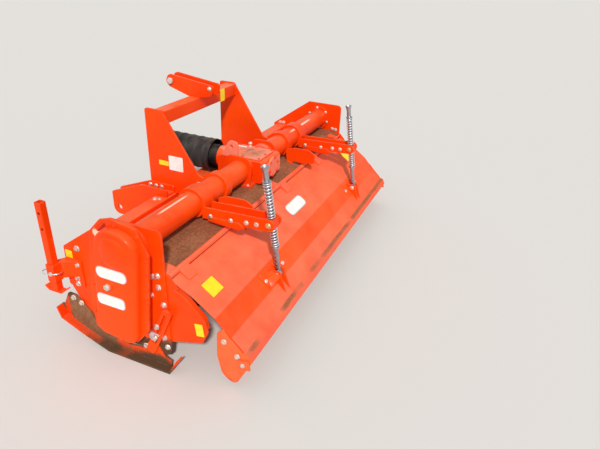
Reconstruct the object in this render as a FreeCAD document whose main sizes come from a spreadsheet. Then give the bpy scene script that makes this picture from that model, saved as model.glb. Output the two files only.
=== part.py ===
import FreeCAD, Part
import math
import os
import Sketcher
from FreeCAD import Placement, Rotation, Vector

# Rotary tiller for a tractor's three-point linkage, with a side gear drive.
# Frame of the model: X to the right, Y forward towards the tractor, Z up, millimetres.
# The origin lies on the floor under the rotor axis, midway between the side plates.

doc = FreeCAD.newDocument("rotary_tiller")

# Driving sizes: name, value in mm or degrees, what it measures.
SIZES = [
    ("frame_width", 2100, "clear width between the side plates"),
    ("side_plate_thick", 10, "side plates"),
    ("plate_rear", -206, "rear edge of the side plates"),
    ("plate_top", 684, "top of the side plates"),
    ("plate_low", 62, "lower edge of the side plates"),
    ("sheet_thick", 5, "hood, levelling board and shields"),
    ("weld_gap", 0.3, "a plate's hole round a tube"),
    ("rotor_height", 238, "rotor axis above the floor"),
    ("rotor_radius", 228, "tip circle of the blades"),
    ("rotor_tube_radius", 44, "rotor tube, outside"),
    ("rotor_end_gap", 20, "rotor tube to the side plate"),
    ("journal_radius", 30, "rotor and shaft journals"),
    ("running_gap", 0.1, "radial gap of a journal in its bearing"),
    ("hub_radius", 66, "left rotor bearing"),
    ("hub_length", 12, "left rotor bearing"),
    ("end_hub_radius", 82, "right rotor bearing"),
    ("end_hub_length", 46, "right rotor bearing"),
    ("end_cap_radius", 54, "cap of the right rotor bearing"),
    ("flange_radius", 105, "blade flanges"),
    ("flange_thick", 12, "blade flanges"),
    ("flange_pitch", 230, "spacing of the blade flanges"),
    ("flange_end", 110, "end of the rotor tube to the last flange, at least"),
    ("blade_thick", 8, "blade steel"),
    ("blade_width", 62, "shank of a blade"),
    ("blade_foot", 92, "sideways reach of a blade's foot"),
    ("blade_root", 14, "rotor tube to the inner end of a blade"),
    ("blade_bend", 26, "outer radius of a blade's bend"),
    ("blade_trail", 85, "a blade's foot behind the middle of its shank"),
    ("blade_drop", 6, "fall of a blade's foot along its reach"),
    ("drive_y", -40, "cross shaft axis, along Y"),
    ("drive_rise", 342, "cross shaft axis above the rotor axis"),
    ("cross_tube_radius", 60, "cross tubes, outside"),
    ("cross_tube_wall", 8, "cross tubes"),
    ("tube_flange_thick", 14, "flanges of the cross tubes"),
    ("case_lobe", 108, "radius of the drive case's ends"),
    ("case_depth", 42, "drive case, from the side plate to its flange"),
    ("case_flange_thick", 10, "drive case flange"),
    ("cover_depth", 38, "drive case cover"),
    ("cover_half", 104, "drive case cover, half its width"),
    ("dome_radius", 88, "raised disc of the drive case cover"),
    ("dome_height", 6, "raised disc of the drive case cover"),
    ("beam_y", 260, "front beam centre"),
    ("beam_z", 440, "front beam centre"),
    ("beam_size", 80, "front beam, square"),
    ("beam_wall", 6, "front beam"),
    ("deck_front", 130, "front bend of the hood's deck"),
    ("deck_rear", -118, "rear bend of the hood's deck"),
    ("apron_drop", 108, "front apron below the beam"),
    ("apron_rake", 22, "lower edge of the front apron ahead of its upper edge"),
    ("rib_thick", 10, "ribs of the hood"),
    ("rib_top", 590, "ribs of the hood"),
    ("rib_rear", -300, "ribs of the hood"),
    ("hinge_y", -211, "levelling board hinge"),
    ("hinge_z", 470, "levelling board hinge"),
    ("hinge_radius", 14, "hinge knuckles, outside"),
    ("hinge_pin_radius", 8, "hinge pin"),
    ("knuckle_length", 60, "hinge knuckles"),
    ("board_soft_y", -425, "soft bend of the board"),
    ("board_soft_z", 335, "soft bend of the board"),
    ("board_bend_y", -495, "second bend of the board"),
    ("board_bend_z", 258, "second bend of the board"),
    ("board_lip_y", -592, "lip of the board"),
    ("board_lip_z", 164, "lip of the board"),
    ("board_gap", 8, "board to the line of the side plates, each end"),
    ("cheek_thick", 6, "end cheeks of the board"),
    ("gearbox_half", 130, "gearbox, half its width over its bosses"),
    ("gearbox_core", 110, "gearbox, half the width of its core"),
    ("gearbox_front", 118, "gearbox front face"),
    ("gearbox_rear", -165, "gearbox rear face"),
    ("gearbox_above", 52, "gearbox top above the cross shaft"),
    ("gearbox_below", 72, "gearbox bottom below the cross shaft"),
    ("foot_thick", 12, "foot plate under the gearbox"),
    ("foot_reach", 38, "foot plate beyond the gearbox, each side"),
    ("snout_radius", 62, "input bearing housing"),
    ("snout_length", 42, "input bearing housing"),
    ("input_radius", 17.5, "splined input shaft"),
    ("input_tip", 262, "front end of the input shaft"),
    ("guard_radius", 94, "input guard, outside"),
    ("guard_rear", 198, "input guard, rear rim"),
    ("guard_front", 525, "input guard, front rim"),
    ("guard_wall", 3, "input guard"),
    ("headstock_thick", 12, "headstock plates"),
    ("headstock_front", 379, "front edge of the headstock plates"),
    ("headstock_top", 920, "top of the headstock plates"),
    ("cross_beam_size", 70, "box beam of the headstock"),
    ("cross_beam_rear", 268, "box beam of the headstock"),
    ("clamp_wall", 14, "clamps round the cross tubes"),
    ("clamp_length", 50, "clamps round the cross tubes"),
    ("hitch_centre", 412.5, "lower hitch points from the centre line"),
    ("hitch_gap", 53, "clear gap between two hitch ears"),
    ("ear_thick", 12, "hitch ears"),
    ("lower_pin_y", 550, "lower hitch pin"),
    ("lower_pin_z", 352, "lower hitch pin"),
    ("lower_pin_hole", 14.3, "radius of the lower pin holes"),
    ("ear_radius", 42, "end of the hitch ears"),
    ("top_pin_y", 450, "top link pin"),
    ("top_pin_rise", 71, "top link pin above the box beam"),
    ("top_pin_hole", 12.9, "radius of the top pin hole"),
    ("top_gap", 54, "clear gap of the top link bracket"),
    ("arm_x", 575, "spring rods from the centre line"),
    ("arm_gap", 62, "clear gap between the two bars of an arm"),
    ("arm_thick", 10, "bars of an arm"),
    ("arm_depth", 58, "bars of an arm"),
    ("pivot_y", -447, "trunnion pivot"),
    ("pivot_z", 560, "trunnion pivot"),
    ("trunnion_pin", 9, "radius of the trunnion's stubs"),
    ("trunnion_half", 20, "trunnion block, half its height"),
    ("rod_pin_y", -487, "rod's lower pin on the board"),
    ("rod_pin_z", 299, "rod's lower pin on the board"),
    ("rod_pin_radius", 8, "rod's lower pin on the board"),
    ("rod_radius", 12.5, "spring rod"),
    ("rod_above", 262, "rod above the trunnion pivot"),
    ("rod_gap", 0.4, "radial gap of the rod in its trunnion"),
    ("spring_radius", 20.3, "springs, outside"),
    ("spring_wire", 6, "spring wire"),
    ("upper_spring", 176, "length of an upper spring"),
    ("lower_spring", 104, "length of a lower spring"),
    ("lug_gap", 36, "clear gap of a board lug"),
    ("lug_thick", 8, "gussets of a board lug"),
    ("skid_width", 44, "skid soles, outwards from the side plate"),
    ("skid_thick", 8, "skid steel"),
    ("link_foot_y", -112, "lower eye of a skid's adjusting link"),
    ("link_foot_z", 83, "lower eye of a skid's adjusting link"),
    ("link_length", 236, "skid's adjusting link, between its ends' centres"),
    ("link_half", 23, "skid's adjusting link, half its width"),
    ("link_thick", 10, "skid's adjusting link"),
    ("link_lean", 24, "lean of the skid's adjusting link, degrees"),
    ("stand_y", 324, "parking stand"),
    ("stand_out", 68, "parking stand from the left side plate"),
    ("stand_size", 32, "parking stand tube"),
    ("stand_wall", 4, "parking stand tube"),
    ("stand_low", 298, "parking stand's lower end as parked"),
    ("stand_top", 722, "parking stand's upper end as parked"),
    ("sleeve_gap", 0.8, "parking stand in its sleeve, each side"),
    ("sleeve_low", 345, "parking stand's sleeve"),
    ("sleeve_length", 85, "parking stand's sleeve"),
]

sheet = doc.addObject("Spreadsheet::Sheet", "sizes")
for row, (name, value, note) in enumerate(SIZES, 1):
    sheet.set(f"A{row}", name)
    sheet.set(f"B{row}", str(value))
    sheet.setAlias(f"B{row}", name)
    sheet.set(f"C{row}", note)
doc.recompute()


class Size:
    """A length together with the spreadsheet expression that gives it."""

    def __init__(self, value, text):
        self.value = value
        self.text = text

    def join(self, other, sign, value, swap=False):
        other_text = other.text if isinstance(other, Size) else repr(float(other))
        left, right = (other_text, self.text) if swap else (self.text, other_text)
        return Size(value, f"({left} {sign} {right})")

    def __add__(self, other):
        return self.join(other, "+", self.value + number(other))

    def __radd__(self, other):
        return self.join(other, "+", number(other) + self.value, True)

    def __sub__(self, other):
        return self.join(other, "-", self.value - number(other))

    def __rsub__(self, other):
        return self.join(other, "-", number(other) - self.value, True)

    def __mul__(self, other):
        return self.join(other, "*", self.value * number(other))

    def __rmul__(self, other):
        return self.join(other, "*", number(other) * self.value, True)

    def __truediv__(self, other):
        return self.join(other, "/", self.value / number(other))

    def __neg__(self):
        return self.join(-1, "*", -self.value)


def number(size):
    return size.value if isinstance(size, Size) else float(size)


class Sizes:
    """Every size of the sheet by its name."""

    def __getattr__(self, name):
        return Size(float(sheet.get(name)), f"sizes.{name}")


S = Sizes()
pieces = []


def bind(thing, path, size):
    if isinstance(size, Size):
        thing.setExpression(path, size.text)


def new_body(name, at=(0, 0, 0), turn=None):
    """A body whose origin stands at a point, turned if a rotation is given."""
    body = doc.addObject("PartDesign::Body", name)
    body.Label = name
    body.Placement = Placement(Vector(*[number(v) for v in at]), turn or Rotation())
    for axis, size in zip("xyz", at):
        bind(body, f".Placement.Base.{axis}", size)
    pieces.append(body)
    return body


def new_sketch(body, plane, offset, name):
    """A sketch on one of the body's own planes: YZ faces +X, XY faces +Z, XZ faces -Y."""
    sketch = body.newObject("Sketcher::SketchObject", name)
    role = plane + "_Plane"
    face = [f for f in body.Origin.OriginFeatures if f.Role == role][0]
    sketch.AttachmentSupport = [(face, "")]
    sketch.MapMode = "FlatFace"
    away = -offset if plane == "XZ" else offset
    sketch.AttachmentOffset = Placement(Vector(0, 0, number(away)), Rotation())
    bind(sketch, ".AttachmentOffset.Base.z", away)
    return sketch


def pin_point(sketch, geometry, end, u, v):
    """Hold a sketch point at u, v from the sketch's origin."""
    for kind, size in (("DistanceX", u), ("DistanceY", v)):
        index = sketch.addConstraint(Sketcher.Constraint(kind, -1, 1, geometry, end, number(size)))
        bind(sketch, f"Constraints[{index}]", size)


def draw_circle(sketch, u, v, radius):
    circle = Part.Circle(Vector(number(u), number(v), 0), Vector(0, 0, 1), number(radius))
    index = sketch.addGeometry(circle, False)
    pin_point(sketch, index, 3, u, v)
    size = sketch.addConstraint(Sketcher.Constraint("Radius", index, number(radius)))
    bind(sketch, f"Constraints[{size}]", radius)


def draw_outline(sketch, corners):
    """A closed outline. A corner is (u, v) or, if it is rounded, (u, v, radius)."""
    count = len(corners)
    spots = [Vector(number(c[0]), number(c[1]), 0) for c in corners]
    radii = [number(c[2]) if len(c) > 2 else 0.0 for c in corners]
    starts, ends = [], []
    for i in range(count):
        before = (spots[i - 1] - spots[i]).normalize()
        after = (spots[(i + 1) % count] - spots[i]).normalize()
        half = before.getAngle(after) / 2
        back = radii[i] / math.tan(half) if radii[i] else 0.0
        ends.append(spots[i] + before * back)
        starts.append(spots[i] + after * back)
    lines = []
    for i in range(count):
        nxt = (i + 1) % count
        lines.append(sketch.addGeometry(Part.LineSegment(starts[i], ends[nxt]), False))
    for i in range(count):
        line_in, line_out = lines[i - 1], lines[i]
        if not radii[i]:
            sketch.addConstraint(Sketcher.Constraint("Coincident", line_in, 2, line_out, 1))
            pin_point(sketch, line_out, 1, corners[i][0], corners[i][1])
            continue
        before = (spots[i - 1] - spots[i]).normalize()
        after = (spots[(i + 1) % count] - spots[i]).normalize()
        middle = (before + after).normalize()
        reach = radii[i] / math.sin(before.getAngle(after) / 2)
        centre = spots[i] + middle * reach
        on_arc = centre - middle * radii[i]
        arc = sketch.addGeometry(Part.Arc(ends[i], on_arc, starts[i]), False)
        turns_left = before.cross(after).z < 0
        first, last = (1, 2) if turns_left else (2, 1)
        sketch.addConstraint(Sketcher.Constraint("Tangent", line_in, 2, arc, first))
        sketch.addConstraint(Sketcher.Constraint("Tangent", arc, last, line_out, 1))
        size = sketch.addConstraint(Sketcher.Constraint("Radius", arc, radii[i]))
        bind(sketch, f"Constraints[{size}]", corners[i][2])
        corner = sketch.addGeometry(Part.Point(spots[i]), True)
        pin_point(sketch, corner, 1, corners[i][0], corners[i][1])
        sketch.addConstraint(Sketcher.Constraint("PointOnObject", corner, 1, line_in))
        sketch.addConstraint(Sketcher.Constraint("PointOnObject", corner, 1, line_out))


def pad(body, sketch, length, name, back=False):
    feature = body.newObject("PartDesign::Pad", name)
    feature.Profile = sketch
    feature.Length = number(length)
    bind(feature, "Length", length)
    feature.Reversed = back
    body.Tip = feature
    return feature


def add_plate(body, name, plane, start, thick, outline, holes=(), slots=()):
    """A plate along +X, +Y or +Z from start, with round holes and shaped slots."""
    sketch = new_sketch(body, plane, start, name + "_outline")
    draw_outline(sketch, outline)
    for u, v, radius in holes:
        draw_circle(sketch, u, v, radius)
    for slot in slots:
        draw_outline(sketch, slot)
    return pad(body, sketch, thick, name + "_pad", plane == "XZ")


def plate(name, plane, start, thick, outline, holes=(), slots=()):
    body = new_body(name)
    add_plate(body, name, plane, start, thick, outline, holes, slots)
    return body


def add_ring(body, name, plane, start, length, u, v, radius, bore=None):
    """A round bar or, with a bore, a tube, along the plane's axis."""
    sketch = new_sketch(body, plane, start, name + "_circle")
    draw_circle(sketch, u, v, radius)
    if bore is not None:
        draw_circle(sketch, u, v, bore)
    return pad(body, sketch, length, name + "_pad", plane == "XZ")


def ring(name, plane, start, length, u, v, radius, bore=None):
    body = new_body(name)
    add_ring(body, name, plane, start, length, u, v, radius, bore)
    return body


def box_outline(u0, u1, v0, v1, radius=0):
    corners = [(u0, v0), (u1, v0), (u1, v1), (u0, v1)]
    return [c + (radius,) for c in corners] if number(radius) else corners


def sheet_outline(points, thick):
    """Both faces of a bent sheet, from the points along its upper face."""
    spots = [(number(p[0]), number(p[1])) for p in points]
    wall = number(thick)
    lower = []
    for i, (u, v) in enumerate(spots):
        normals = []
        for a, b in ((i - 1, i), (i, i + 1)):
            if a < 0 or b >= len(spots):
                continue
            du, dv = spots[b][0] - spots[a][0], spots[b][1] - spots[a][1]
            run = math.hypot(du, dv)
            normals.append((dv / run, -du / run))
        nu = sum(n[0] for n in normals)
        nv = sum(n[1] for n in normals)
        scale = 2 if len(normals) == 2 else 1
        size = nu * nu + nv * nv
        step_u, step_v = nu * scale * wall / size, nv * scale * wall / size
        lower.append((points[i][0] + (thick * (step_u / wall)), points[i][1] + (thick * (step_v / wall))))
    return [(p[0], p[1]) for p in points] + lower[::-1]


frame_half = S.frame_width / 2
plate_out = frame_half + S.side_plate_thick
drive_z = S.rotor_height + S.drive_rise
beam_half = S.beam_size / 2
beam_top = S.beam_z + beam_half
beam_low = S.beam_z - beam_half
beam_front = S.beam_y + beam_half
beam_rear = S.beam_y - beam_half

# Side plates: cut from 10 mm steel, with a high peak over the cross tube and the lower front
# corner cut away. The left one carries the drive case and the right one the end bearing.
plate_front = beam_front + 22
side_outline = [
    (plate_front, beam_top + 3, 12),
    (plate_front + 4, S.beam_z - 135, 20),
    (plate_front - 99, S.plate_low + 56, 60),
    (plate_front - 212, S.plate_low, 60),
    (S.plate_rear, S.plate_low, 30),
    (S.plate_rear, S.plate_top, 26),
    (S.drive_y + 83, S.plate_top, 14),
]
journal_hole = S.journal_radius + 12
for side, start in (("left", -plate_out), ("right", frame_half)):
    bores = [(0, S.rotor_height, journal_hole)]
    plate(f"side_plate_{side}", "YZ", start, S.side_plate_thick, side_outline, bores)

# Front beam: square tube across the machine between the side plates.
beam_inner = box_outline(
    beam_rear + S.beam_wall, beam_front - S.beam_wall, beam_low + S.beam_wall, beam_top - S.beam_wall
)
beam_outer = box_outline(beam_rear, beam_front, beam_low, beam_top, 6)
plate("front_beam", "YZ", -frame_half, S.frame_width, beam_outer, slots=[beam_inner])

# Hood: the deck over the rotor, bent from sheet, from the beam back to the board's hinge.
deck_height = drive_z - S.gearbox_below - S.foot_thick
hood_bend = (S.deck_rear, deck_height)
hood_end = (S.hinge_y + 15, S.hinge_z + 4)
hood_line = [hood_end, hood_bend, (S.deck_front, deck_height), (beam_rear, S.beam_z + 6)]
plate("hood_deck", "YZ", -frame_half, S.frame_width, sheet_outline(hood_line, S.sheet_thick))
apron_top = (beam_front - 10, beam_low - 1)
apron_line = [(apron_top[0] + S.apron_rake, beam_low - S.apron_drop), apron_top]
plate("front_apron", "YZ", -frame_half, S.frame_width, sheet_outline(apron_line, S.sheet_thick))


def between(a, b, share):
    """A point part of the way from a to b."""
    return (a[0] + (b[0] - a[0]) * share, a[1] + (b[1] - a[1]) * share)


# Ribs: two plates that stand on the deck and reach back over the hinge.
rib_places = (("left", -480), ("right", 320))
rib_outline = [
    hood_bend,
    (S.deck_rear + 10, S.rib_top - 20, 10),
    (S.deck_rear - 42, S.rib_top - 2, 30),
    (S.rib_rear + 38, S.rib_top, 50),
    (S.rib_rear, S.rib_top - 25, 30),
    (S.rib_rear, S.hinge_z + 40, 14),
    (S.hinge_y - 11, S.hinge_z + 30, 8),
    (S.deck_rear - 40, S.hinge_z + 32, 6),
    between(hood_bend, hood_end, 0.48),
]
for side, middle in rib_places:
    plate(f"hood_rib_{side}", "YZ", middle - S.rib_thick / 2, S.rib_thick, rib_outline)

# Cross tubes from the gearbox to the side plates, flanged at both ends. The outer flanges
# just clear the deck and the inner ones the gearbox's foot plate.
tube_bore = S.cross_tube_radius - S.cross_tube_wall
tube_length = frame_half - S.gearbox_half
outer_flange = drive_z - deck_height - 2
inner_flange = S.gearbox_below - 1
far_end = tube_length - S.tube_flange_thick
for name, start, near_radius, far_radius in (
    ("drive_tube", -frame_half, outer_flange, inner_flange),
    ("support_tube", S.gearbox_half, inner_flange, outer_flange),
):
    body = ring(name, "YZ", start, tube_length, S.drive_y, drive_z, S.cross_tube_radius, tube_bore)
    for end, at, radius in (("a", start, near_radius), ("b", start + far_end, far_radius)):
        flange = (S.tube_flange_thick, S.drive_y, drive_z, radius, tube_bore)
        add_ring(body, f"{name}_flange_{end}", "YZ", at, *flange)

# Gearbox: a cast housing with a round boss for each cross tube, the snout of its input
# bearing in front, a round cap behind and a lifting lug on its left front edge.
gearbox_top = drive_z + S.gearbox_above
gearbox_base = drive_z - S.gearbox_below
gearbox_corner = (S.gearbox_above + S.gearbox_below) * 0.2
gearbox = new_body("gearbox_housing")
core = box_outline(S.gearbox_rear, S.gearbox_front, gearbox_base, gearbox_top, gearbox_corner)
add_plate(gearbox, "core", "YZ", -S.gearbox_core, S.gearbox_core * 2, core)
boss_radius = S.gearbox_below - 3
boss_length = S.gearbox_half - S.gearbox_core
for side, start in (("left", -S.gearbox_half), ("right", S.gearbox_core)):
    add_ring(gearbox, f"{side}_boss", "YZ", start, boss_length, S.drive_y, drive_z, boss_radius)
snout_front = S.gearbox_front + S.snout_length
add_ring(gearbox, "snout", "XZ", S.gearbox_front, S.snout_length, 0, drive_z, S.snout_radius)
snout_collar = S.gearbox_below - 4
add_ring(gearbox, "snout_collar", "XZ", S.gearbox_front, 14, 0, drive_z, snout_collar)
add_ring(gearbox, "rear_cap", "XZ", S.gearbox_rear - 12, 12, 0, drive_z, snout_collar - 14)
lug_foot = drive_z + 20
lifting_lug = [
    (S.gearbox_front, lug_foot),
    (S.gearbox_front - 42, lug_foot + 65),
    (S.gearbox_front - 73, lug_foot + 127, 20),
    (S.gearbox_front - 125, lug_foot + 120, 20),
    (S.gearbox_front - 125, lug_foot),
]
lug_hole = [(S.gearbox_front - 88, lug_foot + 94, 11)]
add_plate(gearbox, "lifting_lug", "YZ", -S.gearbox_core, 14, lifting_lug, lug_hole)
shaft_well = new_sketch(gearbox, "XZ", snout_front, "shaft_well_circle")
draw_circle(shaft_well, 0, drive_z, S.input_radius + S.running_gap)
well = gearbox.newObject("PartDesign::Pocket", "shaft_well")
well.Profile = shaft_well
well.Length = 80
well.Reversed = True
gearbox.Tip = well
lid_half = S.gearbox_core - 18
lid_outline = box_outline(-lid_half, lid_half, S.gearbox_rear + 30, S.gearbox_front - 34, 20)
plate("gearbox_cover", "XY", gearbox_top, 8, lid_outline)

# Cradle: the gearbox's foot plate on the deck, with an upright on each side round the tube.
cradle = new_body("gearbox_cradle")
cradle_half = S.gearbox_half + S.foot_reach
base_outline = box_outline(-cradle_half, cradle_half, S.deck_rear, S.deck_front)
add_plate(cradle, "foot", "XY", deck_height, S.foot_thick, base_outline)
upright_outline = [
    (S.deck_rear + 8, gearbox_base),
    (S.deck_front - 12, gearbox_base),
    (S.drive_y + 100, drive_z + 24, 20),
    (S.drive_y + 64, drive_z + 84, 30),
    (S.drive_y - 78, drive_z + 84, 50),
]
upright_hole = [(S.drive_y, drive_z, S.cross_tube_radius + S.weld_gap)]
upright_thick = 10
upright_at = S.gearbox_half + S.tube_flange_thick + 2
for side, start in (("left", -upright_at - upright_thick), ("right", upright_at)):
    add_plate(cradle, f"{side}_upright", "YZ", start, upright_thick, upright_outline, upright_hole)

# Input shaft: a stub that runs in the snout, with six splines and a groove for the yoke's lock.
shaft = new_body("input_shaft")
shaft_rear = snout_front - 78
shaft_neck = snout_front + 10
groove_at = S.input_tip - 40
groove_wide = 8
spline_root = 0.86
tooth_half = math.radians(13)
spline_outline = []
for tooth in range(6):
    angle = tooth * math.pi / 3
    for share, at in (
        (1, angle - tooth_half),
        (1, angle + tooth_half),
        (spline_root, angle + tooth_half),
        (spline_root, angle + math.pi / 3 - tooth_half),
    ):
        u = S.input_radius * (share * math.cos(at))
        v = drive_z + S.input_radius * (share * math.sin(at))
        spline_outline.append((u, v))
add_ring(shaft, "journal", "XZ", shaft_rear, shaft_neck - shaft_rear, 0, drive_z, S.input_radius)
add_plate(shaft, "rear_splines", "XZ", shaft_neck, groove_at - shaft_neck, spline_outline)
groove_radius = S.input_radius * 0.8
add_ring(shaft, "groove", "XZ", groove_at, groove_wide, 0, drive_z, groove_radius)
tip_start = groove_at + groove_wide
add_plate(shaft, "tip_splines", "XZ", tip_start, S.input_tip - tip_start, spline_outline)

# Input guard: an open bell carried by a collar on the snout.
guard = new_body("input_guard")
collar_wall = 4
collar_length = 92
collar_bore = S.snout_radius - collar_wall
web_thick = 6
web_at = snout_front + collar_length - web_thick
web_radius = S.guard_radius - 1
add_ring(guard, "collar", "XZ", snout_front, collar_length, 0, drive_z, S.snout_radius, collar_bore)
add_ring(guard, "web", "XZ", web_at, web_thick, 0, drive_z, web_radius, collar_bore)
bell = (S.guard_radius, S.guard_radius - S.guard_wall)
add_ring(guard, "bell", "XZ", S.guard_rear, S.guard_front - S.guard_rear, 0, drive_z, *bell)

# Headstock: two upright plates on the beam, each with a bolted foot and a clamp round the
# cross tube, joined at the top by a box beam.
head_out = S.hitch_centre - S.hitch_gap / 2 - S.ear_thick
head_in = head_out - S.headstock_thick
head_outline = [
    (S.headstock_front, beam_top, 10),
    (S.headstock_front, S.headstock_top, 12),
    (S.headstock_front - 100, S.headstock_top, 12),
    (S.drive_y + 114, drive_z + 26, 40),
    (S.drive_y + 70, drive_z + 20, 10),
    (S.drive_y + 70, drive_z - 40, 10),
    (beam_rear - 40, beam_top, 30),
]
clamp_bore = S.cross_tube_radius + S.weld_gap
clamp_radius = S.cross_tube_radius + S.clamp_wall
clamp_start = head_in - 10
foot_wide = 60
for side, sign in (("left", -1), ("right", 1)):
    body = new_body(f"headstock_{side}")
    start = head_in if sign > 0 else -head_out
    add_plate(body, "upright", "YZ", start, S.headstock_thick, head_outline)
    clamp_at = clamp_start if sign > 0 else -clamp_start - S.clamp_length
    clamp = (S.clamp_length, S.drive_y, drive_z, clamp_radius, clamp_bore)
    add_ring(body, "clamp", "YZ", clamp_at, *clamp)
    foot_at = head_in - foot_wide if sign > 0 else -head_in
    foot_outline = box_outline(foot_at, foot_at + foot_wide, beam_rear + 4, beam_front - 4)
    add_plate(body, "foot", "XY", beam_top, 10, foot_outline)
cross_front = S.cross_beam_rear + S.cross_beam_size
cross_top = S.headstock_top - 6
cross_low = cross_top - S.cross_beam_size
cross_outline = box_outline(S.cross_beam_rear, cross_front, cross_low, cross_top, 6)
plate("headstock_beam", "YZ", -head_in, head_in * 2, cross_outline)

# Lower hitch: a pair of ears on each side of the beam, bored in line for the link pin.
ear_outline = [
    (beam_rear + 6, beam_top),
    (beam_rear + 6, beam_top + 40, 12),
    (S.headstock_front + 6, beam_top + 42, 20),
    (S.lower_pin_y - 6, S.lower_pin_z + 108, 20),
    (S.lower_pin_y + S.ear_radius, S.lower_pin_z + 90, 12),
    (S.lower_pin_y + S.ear_radius, S.lower_pin_z - S.ear_radius, S.ear_radius * 0.99),
    (S.lower_pin_y - S.ear_radius, S.lower_pin_z - S.ear_radius, 30),
    (beam_front, beam_low + 5, 4),
    (beam_front, beam_top),
]
pin_hole = [(S.lower_pin_y, S.lower_pin_z, S.lower_pin_hole)]
ear_far = S.hitch_centre + S.hitch_gap / 2
for side, sign in (("left", -1), ("right", 1)):
    body = new_body(f"lower_hitch_{side}")
    for which, at in (("inner", head_out), ("outer", ear_far)):
        start = at if sign > 0 else -at - S.ear_thick
        add_plate(body, f"{which}_ear", "YZ", start, S.ear_thick, ear_outline, pin_hole)
    web_start = head_out + S.ear_thick if sign > 0 else -ear_far
    web = box_outline(beam_rear + 10, beam_rear + 70, beam_top, beam_top + 10)
    add_plate(body, "web", "YZ", web_start, S.hitch_gap, web)

# Top link bracket: two plates on the box beam, with a foot between them.
top_pin_z = cross_top + S.top_pin_rise
top_outline = [
    (S.cross_beam_rear - 92, cross_top + 72, 14),
    (S.cross_beam_rear - 78, cross_top + 16, 20),
    (S.cross_beam_rear, cross_top),
    (cross_front, cross_top),
    (S.top_pin_y + 10, top_pin_z - 34, 24),
    (S.top_pin_y + 36, top_pin_z - 6, 24),
    (S.top_pin_y + 16, top_pin_z + 36, 24),
]
bracket = new_body("top_link_bracket")
for which, start in (("left", -S.top_gap / 2 - S.ear_thick), ("right", S.top_gap / 2)):
    holes = [(S.top_pin_y, top_pin_z, S.top_pin_hole)]
    add_plate(bracket, f"{which}_cheek", "YZ", start, S.ear_thick, top_outline, holes)
foot = box_outline(S.cross_beam_rear, cross_front, cross_top, cross_top + 10)
add_plate(bracket, "foot", "YZ", -S.top_gap / 2, S.top_gap, foot)

# Drive case on the left plate: a housing with a many-sided flange, which has a slot to lift
# the machine by, and a deep cover with a raised disc. It leans with the line of the gears.
lean = Rotation(Vector(1, 0, 0), math.degrees(math.atan2(-number(S.drive_y), number(S.drive_rise))))
centres = math.hypot(number(S.drive_y), number(S.drive_rise))
lobe = S.case_lobe
housing_outline = box_outline(-lobe, lobe, -lobe, lobe + centres, lobe * 0.98)
flange_outline = [
    (lobe * 0.45, centres + lobe * 1.24),
    (lobe * 0.89, centres + lobe * 1.04),
    (lobe * 1.37, centres + lobe * 0.38),
    (lobe * 1.43, centres - lobe * 0.83),
    (lobe * 1.44, lobe * 0.23),
    (lobe * 1.27, -lobe * 1.04),
    (-lobe * 0.78, -lobe * 0.91),
    (-lobe * 1.31, -lobe * 0.06),
    (-lobe * 1.28, centres + lobe * 0.29),
    (-lobe * 0.69, centres + lobe * 1.19),
]


def leaning_slot(u, v, half_long, half_wide, angle):
    """A slot with round ends about u, v, turned from the u axis by an angle in degrees."""
    cos, sin = math.cos(math.radians(angle)), math.sin(math.radians(angle))
    corners = []
    for a, b in ((-1, -1), (1, -1), (1, 1), (-1, 1)):
        along, across = a * half_long, b * half_wide
        corners.append((u + (along * cos - across * sin), v + (along * sin + across * cos), half_wide * 0.96))
    return corners


housing_start = -plate_out - S.case_depth
flange_start = housing_start - S.case_flange_thick
cover_start = flange_start - S.cover_depth
case_flange = new_body("drive_case_flange", (0, 0, S.rotor_height), lean)
journal_bore = [(0, 0, journal_hole)]
add_plate(case_flange, "housing", "YZ", housing_start, S.case_depth, housing_outline, journal_bore)
lifting_slot = leaning_slot(lobe * 0.85, centres + lobe * 0.73, 38, 10, 134)
add_plate(
    case_flange,
    "flange",
    "YZ",
    flange_start,
    S.case_flange_thick,
    flange_outline,
    journal_bore,
    [lifting_slot],
)


def bevel_rim(body, feature, across, size, name):
    """Bevel the edges of the feature that lie at one X."""
    doc.recompute()
    edges = []
    for index, edge in enumerate(feature.Shape.Edges, 1):
        if all(abs(vertex.X - number(across)) < 0.01 for vertex in edge.Vertexes):
            edges.append(f"Edge{index}")
    bevel = body.newObject("PartDesign::Chamfer", name)
    bevel.Base = (feature, edges)
    bevel.Size = size
    body.Tip = bevel


case = new_body("drive_case", (0, 0, S.rotor_height), lean)
cover_outline = [
    (-S.cover_half, -S.cover_half * 0.88, S.cover_half * 0.58),
    (S.cover_half, -S.cover_half * 0.88, S.cover_half * 0.58),
    (S.cover_half, centres + S.cover_half, S.cover_half * 0.9),
    (-S.cover_half, centres + S.cover_half, S.cover_half * 0.9),
]
cover = add_plate(case, "cover", "YZ", cover_start, S.cover_depth, cover_outline)
bevel_rim(case, cover, cover_start, 9, "cover_rim")
case_face = cover_start - S.dome_height
dome = add_ring(case, "dome", "YZ", case_face, S.dome_height + 1, 0, centres, S.dome_radius)
bevel_rim(case, dome, case_face, 5, "dome_rim")

# Bearings of the rotor: a hub inside the left plate, and a housing with a cap on the right
# plate that reaches as far out as the drive case.
bearing_bore = S.journal_radius + S.running_gap
hub_end = plate_out + S.end_hub_length
bearing = new_body("rotor_bearing_right", (0, 0, S.rotor_height))
add_ring(bearing, "hub", "YZ", plate_out, S.end_hub_length, 0, 0, S.end_hub_radius, bearing_bore)
add_ring(bearing, "cap", "YZ", hub_end, -case_face - hub_end, 0, 0, S.end_cap_radius)
bearing_left = new_body("rotor_bearing_left", (0, 0, S.rotor_height))
add_ring(bearing_left, "hub", "YZ", -frame_half, S.hub_length, 0, 0, S.hub_radius, bearing_bore)

# Rotor: a tube with flanges that carry bent blades, three to the left and three to the right.
along = Vector(1, 0, 0)


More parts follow.
